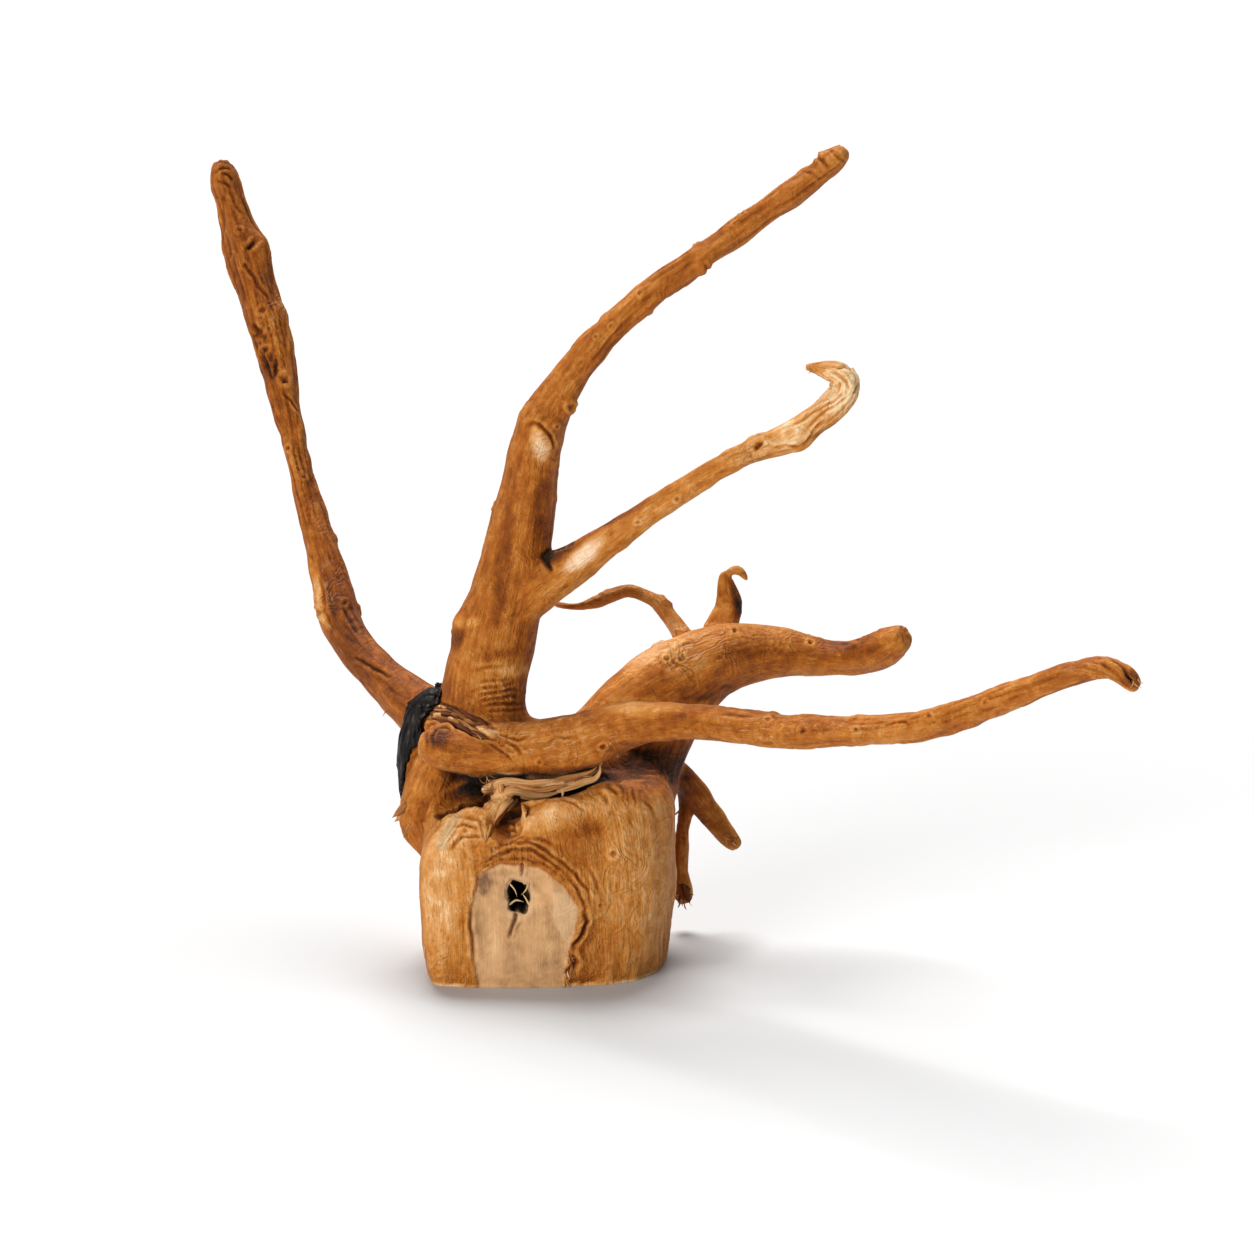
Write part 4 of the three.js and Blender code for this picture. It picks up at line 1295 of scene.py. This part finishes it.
def bark_plate(mesh):
    """The plate: the skin where the bark lies, pushed out into folds and given a thickness."""
    spots = spots_of(mesh)
    outward = normals_of(mesh)
    gap, place = follow(spots, LINES["bark"])
    other_gap = np.min([follow(spots, LINES[name])[0] for name in ("front", "left", "flange")], axis=0)
    edge = 1.1 * noise(spots / RAGGED_MM, 91, 2)
    inside = np.min([
        1.5 - gap + 0.3 * edge, BARK_TOP - spots[:, 2] + edge, spots[:, 2] - BARK_FOOT + edge,
        3.0 * (outward @ np.array(BARK_FACES)) + edge, other_gap - gap + 1.0 + 0.4 * edge,
    ], axis=0)
    size = np.array([FOLD_SIZE[0], FOLD_SIZE[1], FOLD_SIZE[1]])
    fold = noise(place / size, 92)
    crinkle = noise(place / (size / 3), 93)
    lift = BARK_LIFT + 1.3 * np.abs(fold) + 0.35 * np.abs(crinkle)
    put_spots(mesh, spots + outward * lift[:, None])
    work = bmesh.new()
    work.from_mesh(mesh)
    work.verts.ensure_lookup_table()
    bmesh.ops.delete(work, geom=[work.verts[i] for i in np.flatnonzero(inside < 0)], context="VERTS")
    pieces, left = [], set(work.faces)
    while left:
        group, grow = set(), [left.pop()]
        while grow:
            face = grow.pop()
            group.add(face)
            beside = {other for edge in face.edges for other in edge.link_faces} & left
            left -= beside
            grow += beside
        pieces.append(group)
    largest = max(pieces, key=len)
    scraps = [face for face in work.faces if face not in largest]
    bmesh.ops.delete(work, geom=scraps, context="FACES")
    border = [vert for vert in work.verts if vert.is_boundary]
    bmesh.ops.smooth_vert(work, verts=border, factor=0.5, use_axis_x=True, use_axis_y=True, use_axis_z=True)
    bmesh.ops.recalc_face_normals(work, faces=work.faces)
    work.to_mesh(mesh)
    work.free()
    return finished(mesh, "bark_wall", [("SOLIDIFY", {"thickness": BARK_WALL * MM, "offset": -1.0})])


def dead_bark():
    """Dead bark, rubbed to a gloss: brown black, its fold crests shinier and painted paler as a highlight."""
    sockets = {"IOR": 1.45, "Specular IOR Level": 0.16}
    material, tree, shader = blank_material("dead_bark_rubbed", sockets)
    spot = add(tree, "TexCoord", {}, "Object")
    scale = (1 / (FOLD_SIZE[1] * MM), 1 / (FOLD_SIZE[1] * MM), 1 / (FOLD_SIZE[0] * MM))
    sized = add(tree, "Mapping", {"Vector": spot, "Scale": scale})
    folds = add(tree, "TexNoise", {"Vector": sized, "Scale": 1.0, "Detail": 5.0, "Roughness": 0.6})
    # The crests of the folds are painted paler, as a highlight.
    colour = add(
        tree, "ValToRGB", {"Fac": folds},
        steps=[(0.3, "#050302"), (0.5, "#0F0B09"), (0.62, "#221A15"), (0.75, "#46392E")],
    )
    tree.links.new(colour, shader.inputs["Base Color"])
    sockets = {"Value": folds, "From Min": 0.35, "From Max": 0.65, "To Min": 0.6, "To Max": 0.3}
    shine = add(tree, "MapRange", sockets)
    tree.links.new(shine, shader.inputs["Roughness"])
    bump = add(tree, "Bump", {"Height": folds, "Strength": 1.0, "Distance": 0.7 * MM})
    tree.links.new(bump, shader.inputs["Normal"])
    return material


plate = shown(bark_plate(fine_net), "dead_bark", dead_bark())
print("bark plate:", len(plate.data.polygons), "triangles")

# %% [markdown]
# ## Loose fibres and splinters
# Where the root was torn, its fibres stand up: the tongue in the cleft is nothing but layers of
# them. Each could be drawn by hand, but there are about two hundred. So a blank rod is grown once by
# extruding a small ring, and then bent along many lines. The lines start where a line of sight
# through the picture meets the wood, so no fibre hangs in the air.

# %% Blank rods and how they are bent


def blank_rod(sides, rings):
    """A straight rod along Z, from 0 to 1, with a radius of 1: its mesh, points and turns."""
    work = bmesh.new()
    bmesh.ops.create_circle(work, cap_ends=True, segments=sides, radius=1)
    end = work.faces[:]
    for step in range(rings):
        grown = bmesh.ops.extrude_face_region(work, geom=end)["geom"]
        if step:
            bmesh.ops.delete(work, geom=end, context="FACES_ONLY")
        end = [part for part in grown if isinstance(part, bmesh.types.BMFace)]
        bmesh.ops.translate(work, vec=(0, 0, 1 / rings), verts=end[0].verts[:])
    bmesh.ops.recalc_face_normals(work, faces=work.faces)
    mesh = mesh_of(work, "blank_rod")
    mesh.attributes.new("tone", "FLOAT", "POINT")
    mesh.attributes.new("grain", "FLOAT_VECTOR", "POINT")
    points = np.array([vertex.co[:] for vertex in mesh.vertices])
    side_of = np.round(np.arctan2(points[:, 1], points[:, 0]) / math.tau * sides).astype(int) % sides
    return mesh, points, side_of


HAIR = blank_rod(5, 6)
BUNDLE = blank_rod(12, 20)
# How uneven a rod's sides are, as a share of its width, and how far it stays off the floor in mm.
FLUTES = 0.32
FLOOR_GAP = 0.1
# The last part of a rod runs out to a tip: that part's share of the rod, and the tip's of the width.
TIP_SHARE = 0.3
TIP_WIDTH = 0.08


def bend(work, blank, line, widths, thick, roll, tone, chance):
    """Adds a rod along a line of spots in mm; thick is its share of the width."""
    mesh, points, side_of = blank
    stations = [(*spot, width) for spot, width in zip(line, widths)]
    path = catmull_rom(stations, 1.0)
    run = np.concatenate([[0], np.cumsum(np.linalg.norm(np.diff(path[:, :3], axis=0), axis=1))])
    along = points[:, 2] * run[-1]
    middle = np.stack([np.interp(along, run, path[:, k]) for k in range(4)], axis=1)
    ahead = np.gradient(path[:, :3], axis=0)
    ahead = np.stack([np.interp(along, run, ahead[:, k]) for k in range(3)], axis=1)
    ahead /= np.linalg.norm(ahead, axis=1)[:, None]
    side = np.cross(ahead, EYE_BACK)
    side /= np.linalg.norm(side, axis=1)[:, None]
    up = np.cross(side, ahead)
    side, up = side * math.cos(roll) + up * math.sin(roll), up * math.cos(roll) - side * math.sin(roll)
    flute = np.array([1 + chance.uniform(-FLUTES, FLUTES) for _ in range(side_of.max() + 1)])[side_of]
    tip = np.clip((1 - points[:, 2]) / TIP_SHARE, TIP_WIDTH, 1) ** 0.7
    ends = tip * np.clip(points[:, 2] / 0.08 + 0.5, 0, 1)
    size = (middle[:, 3] * ends * flute / 2)[:, None]
    bent = middle[:, :3] + size * (points[:, :1] * side + points[:, 1:2] * up * thick)
    bent[:, 2] = np.maximum(bent[:, 2], FLOOR_GAP)
    put_spots(mesh, bent)
    mesh.attributes["tone"].data.foreach_set("value", np.full(len(bent), tone, np.float32))
    seed = chance.uniform(0, 900)
    grain = np.stack([along + seed, points[:, 0] * middle[:, 3] / 2 + seed, points[:, 1] * 0.5], axis=1)
    mesh.attributes["grain"].data.foreach_set("vector", grain.astype(np.float32).ravel())
    work.from_mesh(mesh)


EYE = AIM + EYE_BACK * EYE_DISTANCE
# Where the wood falls back by more than this, a line goes on at the depth that it had, in mm.
JUMP = 4.0


def laid(line, lifts):
    """Spots in mm where a line in the picture meets the wood, lifted towards the eye."""
    spots = []
    last = None
    for (column, row), lift in zip(line, lifts):
        way = np.array([column - PICTURE / 2, 0, 0]) + (PICTURE / 2 - row) * EYE_UP - FOCAL_PX * EYE_BACK
        way /= np.linalg.norm(way)
        hit = wood_tree.ray_cast(EYE.tolist(), way.tolist())[3]
        if hit is None and last is None:
            return None
        if hit is None or (last is not None and abs(hit - last) > JUMP):
            hit = last
        last = hit
        spots.append(EYE + way * (hit - lift))
    return spots


def strewn(work, chance, outline, count, turn, length, width, lift):
    """Strews hairs over an outline in the picture: turn in degrees, length in px, the rest in mm."""
    points = np.array(outline, float)
    low, high = points.min(0), points.max(0)
    made = 0
    while made < count:
        start = np.array([chance.uniform(low[0], high[0]), chance.uniform(low[1], high[1])])
        if from_outline(start[None], outline)[0] > 0:
            continue
        made += 1
        heading = math.radians(chance.uniform(*turn))
        reach = chance.uniform(*length)
        curl = chance.uniform(-0.7, 0.7)
        top = chance.uniform(*lift)
        angles = [heading + curl * part for part in (0, 0.5, 1)]
        line = [start] + [
            start + reach * part * np.array([math.cos(angle), math.sin(angle)])
            for part, angle in zip((0.3, 0.65, 1), angles)
        ]
        spots = laid(line, [-0.2, 0.5 * top, top, top])
        if spots is not None:
            wide = chance.uniform(*width)
            bend(work, HAIR, spots, [wide] * 4, 0.6, chance.uniform(-1, 1), chance.uniform(0.3, 0.9), chance)


# %% [markdown]
# The fibres are dry inner wood: paler and duller than the skin, with fine lines along them.

# %% The wood of the fibres
LINE_MM = (9.0, 0.35)


def torn_fibre_wood():
    """Dry torn wood: pale straw to brown, quite matt, with fine dark lines along the fibres."""
    material, tree, shader = blank_material(
        "torn_dry_root_fibre", {"Roughness": 0.85, "Specular IOR Level": 0.2}
    )
    tone = add(tree, "Attribute", {}, "Fac", attribute_name="tone")
    grain = add(tree, "Attribute", {}, "Vector", attribute_name="grain")
    sized = add(tree, "Mapping", {"Vector": grain, "Scale": (1 / LINE_MM[0], 1 / LINE_MM[1], 1.0)})
    lines = add(tree, "TexNoise", {"Vector": sized, "Scale": 1.0, "Detail": 4.0, "Roughness": 0.6})
    mixed = add(tree, "Math", {0: lines, 1: 1.1, 2: tone}, operation="MULTIPLY_ADD")
    mixed = add(tree, "Math", {0: mixed, 1: 0.55}, operation="SUBTRACT")
    colour = add(
        tree, "ValToRGB", {"Fac": mixed},
        steps=[(0.0, "#2E1206"), (0.3, "#743F1A"), (0.6, "#B57A42"), (0.8, "#D6A268"), (1.0, "#EDC894")],
    )
    tree.links.new(colour, shader.inputs["Base Color"])
    bump = add(tree, "Bump", {"Height": lines, "Strength": 1.0, "Distance": 0.4 * MM})
    tree.links.new(bump, shader.inputs["Normal"])
    return material


FIBRE_WOOD = torn_fibre_wood()


def fibre_piece(name, beds, bundles, seed):
    """One piece of fibres: hairs strewn over beds, and bundles laid one by one along lines."""
    chance = random.Random(seed)
    work = bmesh.new()
    for bed in beds:
        strewn(work, chance, *bed)
    for line, widths, lift, roll, tone in bundles:
        spots = laid(line, [-0.1] + [lift] * (len(line) - 1))
        bend(work, BUNDLE, spots, widths, 0.42, roll, tone, chance)
    mesh = mesh_of(work, name)
    piece = shown(mesh, name, FIBRE_WOOD)
    print(name + ":", len(mesh.polygons), "faces")
    return piece


# %% [markdown]
# The tongue is a strip of torn wood in three or four layers. At the left it is frayed into a ball of
# short curled fibres, at the right it bends up and back in a loop. Each bundle gives its line in the
# picture, its widths and its lift in millimetres, its roll and how pale it is.

# %% The tongue in the cleft
TONGUE_LAYERS = [
    ([(490, 786), (500, 782), (512, 781), (530, 783), (546, 781), (560, 780)],
     [1.6, 2.2, 2.4, 2.0, 1.8, 1.2], 0.5, 0.2, 0.75),
    ([(500, 794), (512, 790), (530, 793), (547, 794), (561, 792)], [1.6, 3.0, 3.2, 2.8, 1.6], 0.7, -0.1, 0.7),
    ([(504, 782), (525, 787), (541, 790), (558, 787), (568, 785)], [1.4, 1.8, 2.0, 1.6, 1.0], 0.9, 0.3, 0.6),
    ([(520, 797), (535, 799), (548, 797), (556, 793)], [1.2, 1.6, 1.4, 0.8], 0.5, -0.3, 0.55),
    ([(556, 790), (572, 786), (585, 782), (595, 779), (600, 772), (600, 764)],
     [2.2, 2.4, 2.0, 1.6, 1.4, 1.2], 0.6, 0.1, 0.75),
    ([(552, 782), (566, 778), (580, 775), (592, 771), (598, 765)], [1.4, 1.5, 1.3, 1.0, 0.8], 0.5, 0.2, 0.5),
    ([(560, 786), (563, 791), (562, 798)], [0.9, 0.7, 0.4], 0.9, 0.0, 0.8),
    ([(518, 800), (511, 806), (504, 813), (497, 822)], [3.4, 3.8, 2.8, 1.2], 0.6, 0.5, 0.62),
    ([(513, 799), (506, 805), (500, 813), (495, 821)], [1.8, 2.2, 1.6, 0.8], 0.9, 0.2, 0.72),
    ([(481, 822), (484, 832), (486, 842)], [1.3, 1.0, 0.4], 0.3, 0.0, 0.7),
    ([(491, 824), (489, 833), (486, 842)], [1.0, 0.8, 0.4], 0.3, 0.0, 0.6),
]
BALL_FIBRES = [
    ([(491 + 2.2 * k, 779 + 0.1 * k), (489 + 2.3 * k, 786), (491 + 2.1 * k, 794 - 0.2 * k)],
     [0.7, 0.9, 0.6], 0.8, 0.0, 0.5 + 0.12 * (k % 3))
    for k in range(7)
]
BALL = [(487, 780), (494, 777), (500, 780), (500, 792), (490, 793)]
FLAP_END = [(560, 786), (575, 780), (592, 774), (590, 782), (566, 792)]
TONGUE_SEED = 3
fibre_piece("tongue_fibres", [
    (BALL, 22, (130, 250), (5, 12), (0.14, 0.3), (0.4, 1.2)),
    (FLAP_END, 8, (-60, 10), (5, 12), (0.14, 0.35), (0.2, 1.0)),
], TONGUE_LAYERS + BALL_FIBRES, TONGUE_SEED)

# %% [markdown]
# The broken end over the front root has come apart into coarse bundles, reddish brown with dark gaps
# between them. They lie side by side from the upper guide line to the lower one, so they fill the
# place whatever their number.

# %% The broken end
TORN_TOP = np.array([(430, 704), (447, 704), (464, 711), (480, 719), (500, 736)], float)
TORN_FOOT = np.array([(424, 718), (436, 720), (452, 724), (468, 732), (486, 740)], float)
BUNDLES = 30
TORN_SEED = 4


def torn_line(chance, across, start, reach):
    """A line over the broken end: across is 0 on the upper guide and 1 on the lower one."""
    line = []
    for part in (0, 0.35, 0.7, 1):
        place = (start + reach * part) * (len(TORN_TOP) - 1)
        top, foot = (
            np.array([np.interp(place, range(len(guide)), guide[:, k]) for k in range(2)])
            for guide in (TORN_TOP, TORN_FOOT)
        )
        line.append(tuple(top + (foot - top) * across + (chance.uniform(-1, 1), chance.uniform(-1, 1))))
    return line


chance = random.Random(TORN_SEED)
torn_bundles = []
for index in range(BUNDLES):
    start = chance.uniform(0, 0.75)
    line = torn_line(chance, (index + chance.uniform(0, 1)) / BUNDLES, start, chance.uniform(0.2, 0.45))
    width = chance.uniform(0.7, 1.7)
    torn_bundles.append((
        line, [width, width * 1.2, width, width * 0.5], chance.uniform(-0.1, 0.7), chance.uniform(-0.8, 0.8),
        chance.uniform(0.1, 0.6),
    ))
TORN_HAIRS = (TORN, 14, (20, 60), (5, 12), (0.14, 0.3), (0.1, 0.6))
fibre_piece("torn_end_fibres", [TORN_HAIRS], torn_bundles, TORN_SEED)

# %% [markdown]
# The thin roots broke off, so their ends are frayed, and so is the edge of the scar. A few splinters
# at each place are enough, because only their outline shows. Each bed of hairs gives its outline in
# the picture, their number and turn, their length in pixels, and their width and lift in mm.

# %% The frayed ends
LIP_SPLINTERS = [(562, 950), (570, 944), (576, 950), (578, 962), (570, 976), (564, 984), (562, 970)]
HANGING_END = [(680, 890), (690, 890), (692, 898), (688, 903), (678, 901), (676, 896)]
SLAB_END = [(722, 832), (732, 834), (737, 840), (730, 843), (724, 840)]
FRONT_TIP = [(1128, 672), (1140, 676), (1141, 686), (1132, 686)]
BRANCH_KNEE = [(738, 446), (752, 444), (756, 456), (742, 462)]
BRANCH_TIP = [(805, 366), (814, 366), (818, 376), (808, 374)]
ENDS_SEED = 5
fibre_piece("frayed_ends", [
    (LIP_SPLINTERS, 20, (20, 110), (5, 11), (0.2, 0.5), (0.0, 0.6)),
    (HANGING_END, 24, (40, 140), (4, 9), (0.2, 0.6), (0.0, 0.5)),
    (SLAB_END, 12, (20, 80), (4, 9), (0.2, 0.5), (0.0, 0.4)),
    (FRONT_TIP, 12, (30, 90), (4, 9), (0.2, 0.5), (0.0, 0.3)),
    (BRANCH_KNEE, 14, (100, 190), (3, 8), (0.15, 0.4), (0.0, 0.6)),
    (BRANCH_TIP, 10, (160, 200), (3, 7), (0.15, 0.4), (0.0, 0.3)),
], [
    ([(682, 808), (677, 813), (671, 818)], [0.6, 0.5, 0.3], 0.2, 0.0, 0.4),
    ([(406, 803), (399, 811), (392, 818)], [3.0, 2.4, 0.6], 0.1, 0.4, 0.5),
    ([(404, 812), (399, 818), (394, 822)], [2.4, 1.6, 0.5], 0.1, 0.2, 0.6),
    ([(411, 824), (407, 831), (403, 838)], [2.0, 1.4, 0.5], 0.1, 0.3, 0.6),
    ([(510, 884), (515, 890), (517, 897)], [0.6, 0.4, 0.2], -0.5, 0.2, 0.95),
    ([(529, 881), (526, 890), (521, 895)], [0.5, 0.4, 0.2], -0.6, 0.2, 0.8),
    ([(509, 905), (516, 900), (524, 902)], [0.6, 0.5, 0.2], -0.5, 0.2, 0.95),
    ([(529, 905), (526, 899), (522, 893)], [0.5, 0.4, 0.2], -0.6, 0.2, 0.85),
    ([(389, 706), (386, 711), (382, 717)], [0.4, 0.4, 0.2], 0.2, 0.0, 0.5),
    ([(741, 574), (744, 572), (747, 577)], [1.2, 1.0, 0.5], 0.3, 0.0, 0.5),
    ([(568, 958), (572, 968), (568, 980)], [1.2, 1.0, 0.6], 0.4, 0.3, 0.5),
    ([(683, 884), (685, 894), (690, 903)], [2.4, 2.6, 1.4], 0.4, 0.3, 0.25),
    ([(688, 886), (684, 895), (678, 901)], [1.8, 2.0, 1.0], 0.3, 0.3, 0.2),
], ENDS_SEED)

# %% [markdown]
# ## Floor and light
# The wood stands on a flat pale floor in a bright studio. Most light comes from above and a little from
# behind, from a bank of lamps so wide that shadows are soft, and the floor throws it back up under
# the roots. A weaker bank, low at the front left, lights the side that faces the camera. Area lamps
# would light the middle of the floor best, so each bank is a sun lamp with a wide angle, whose light
# is even everywhere.

# %% Floor, lamps and world
FLOOR_HALF_M = 6.0
PAPER = "#CBCBCB"
WORLD_STRENGTH = 0.21


def floor():
    """The studio paper that the wood stands on."""
    sheet = bmesh.new()
    bmesh.ops.create_grid(sheet, x_segments=1, y_segments=1, size=FLOOR_HALF_M)
    mesh = mesh_of(sheet, "floor")
    sockets = {"Base Color": linear(PAPER), "Roughness": 0.9, "Specular IOR Level": 0.0}
    mesh.materials.append(blank_material("studio_paper", sockets)[0])
    thing = bpy.data.objects.new("floor", mesh)
    scene.collection.objects.link(thing)
    thing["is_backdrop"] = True


def lamp(name, height, side, strength, width):
    """A bank of lamps as a sun: its height, its turn from the front and its width are in degrees."""
    data = bpy.data.lights.new(name, "SUN")
    data.angle = math.radians(width)
    data.energy = strength
    thing = bpy.data.objects.new(name, data)
    up, turn = math.radians(height), math.radians(side)
    towards = Vector((math.sin(turn) * math.cos(up), -math.cos(turn) * math.cos(up), math.sin(up)))
    thing.rotation_euler = towards.to_track_quat("Z", "Y").to_euler()
    scene.collection.objects.link(thing)


floor()
lamp("overhead_bank", height=64, side=-174, strength=4.6, width=34)
lamp("side_bank", height=15, side=-38, strength=2.6, width=34)
world = bpy.data.worlds.new("studio")
world.use_nodes = True
world.node_tree.nodes["Background"].inputs["Color"].default_value = (1, 1, 1, 1)
world.node_tree.nodes["Background"].inputs["Strength"].default_value = WORLD_STRENGTH
scene.world = world
scene.view_settings.view_transform = "Standard"

# %% [markdown]
# ## The size
# Relief and fibres stand a little proud of the solid. The boxes of both are written down, so that
# it can be seen by how much.

# %% Check the size and finish
low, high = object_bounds()
grown = [round((a - b) / MM, 2) for a, b in zip([*high, *cad_low], [*cad_high, *low])]
print("grown past the solid at the top and bottom of x, y and z, mm:", grown)
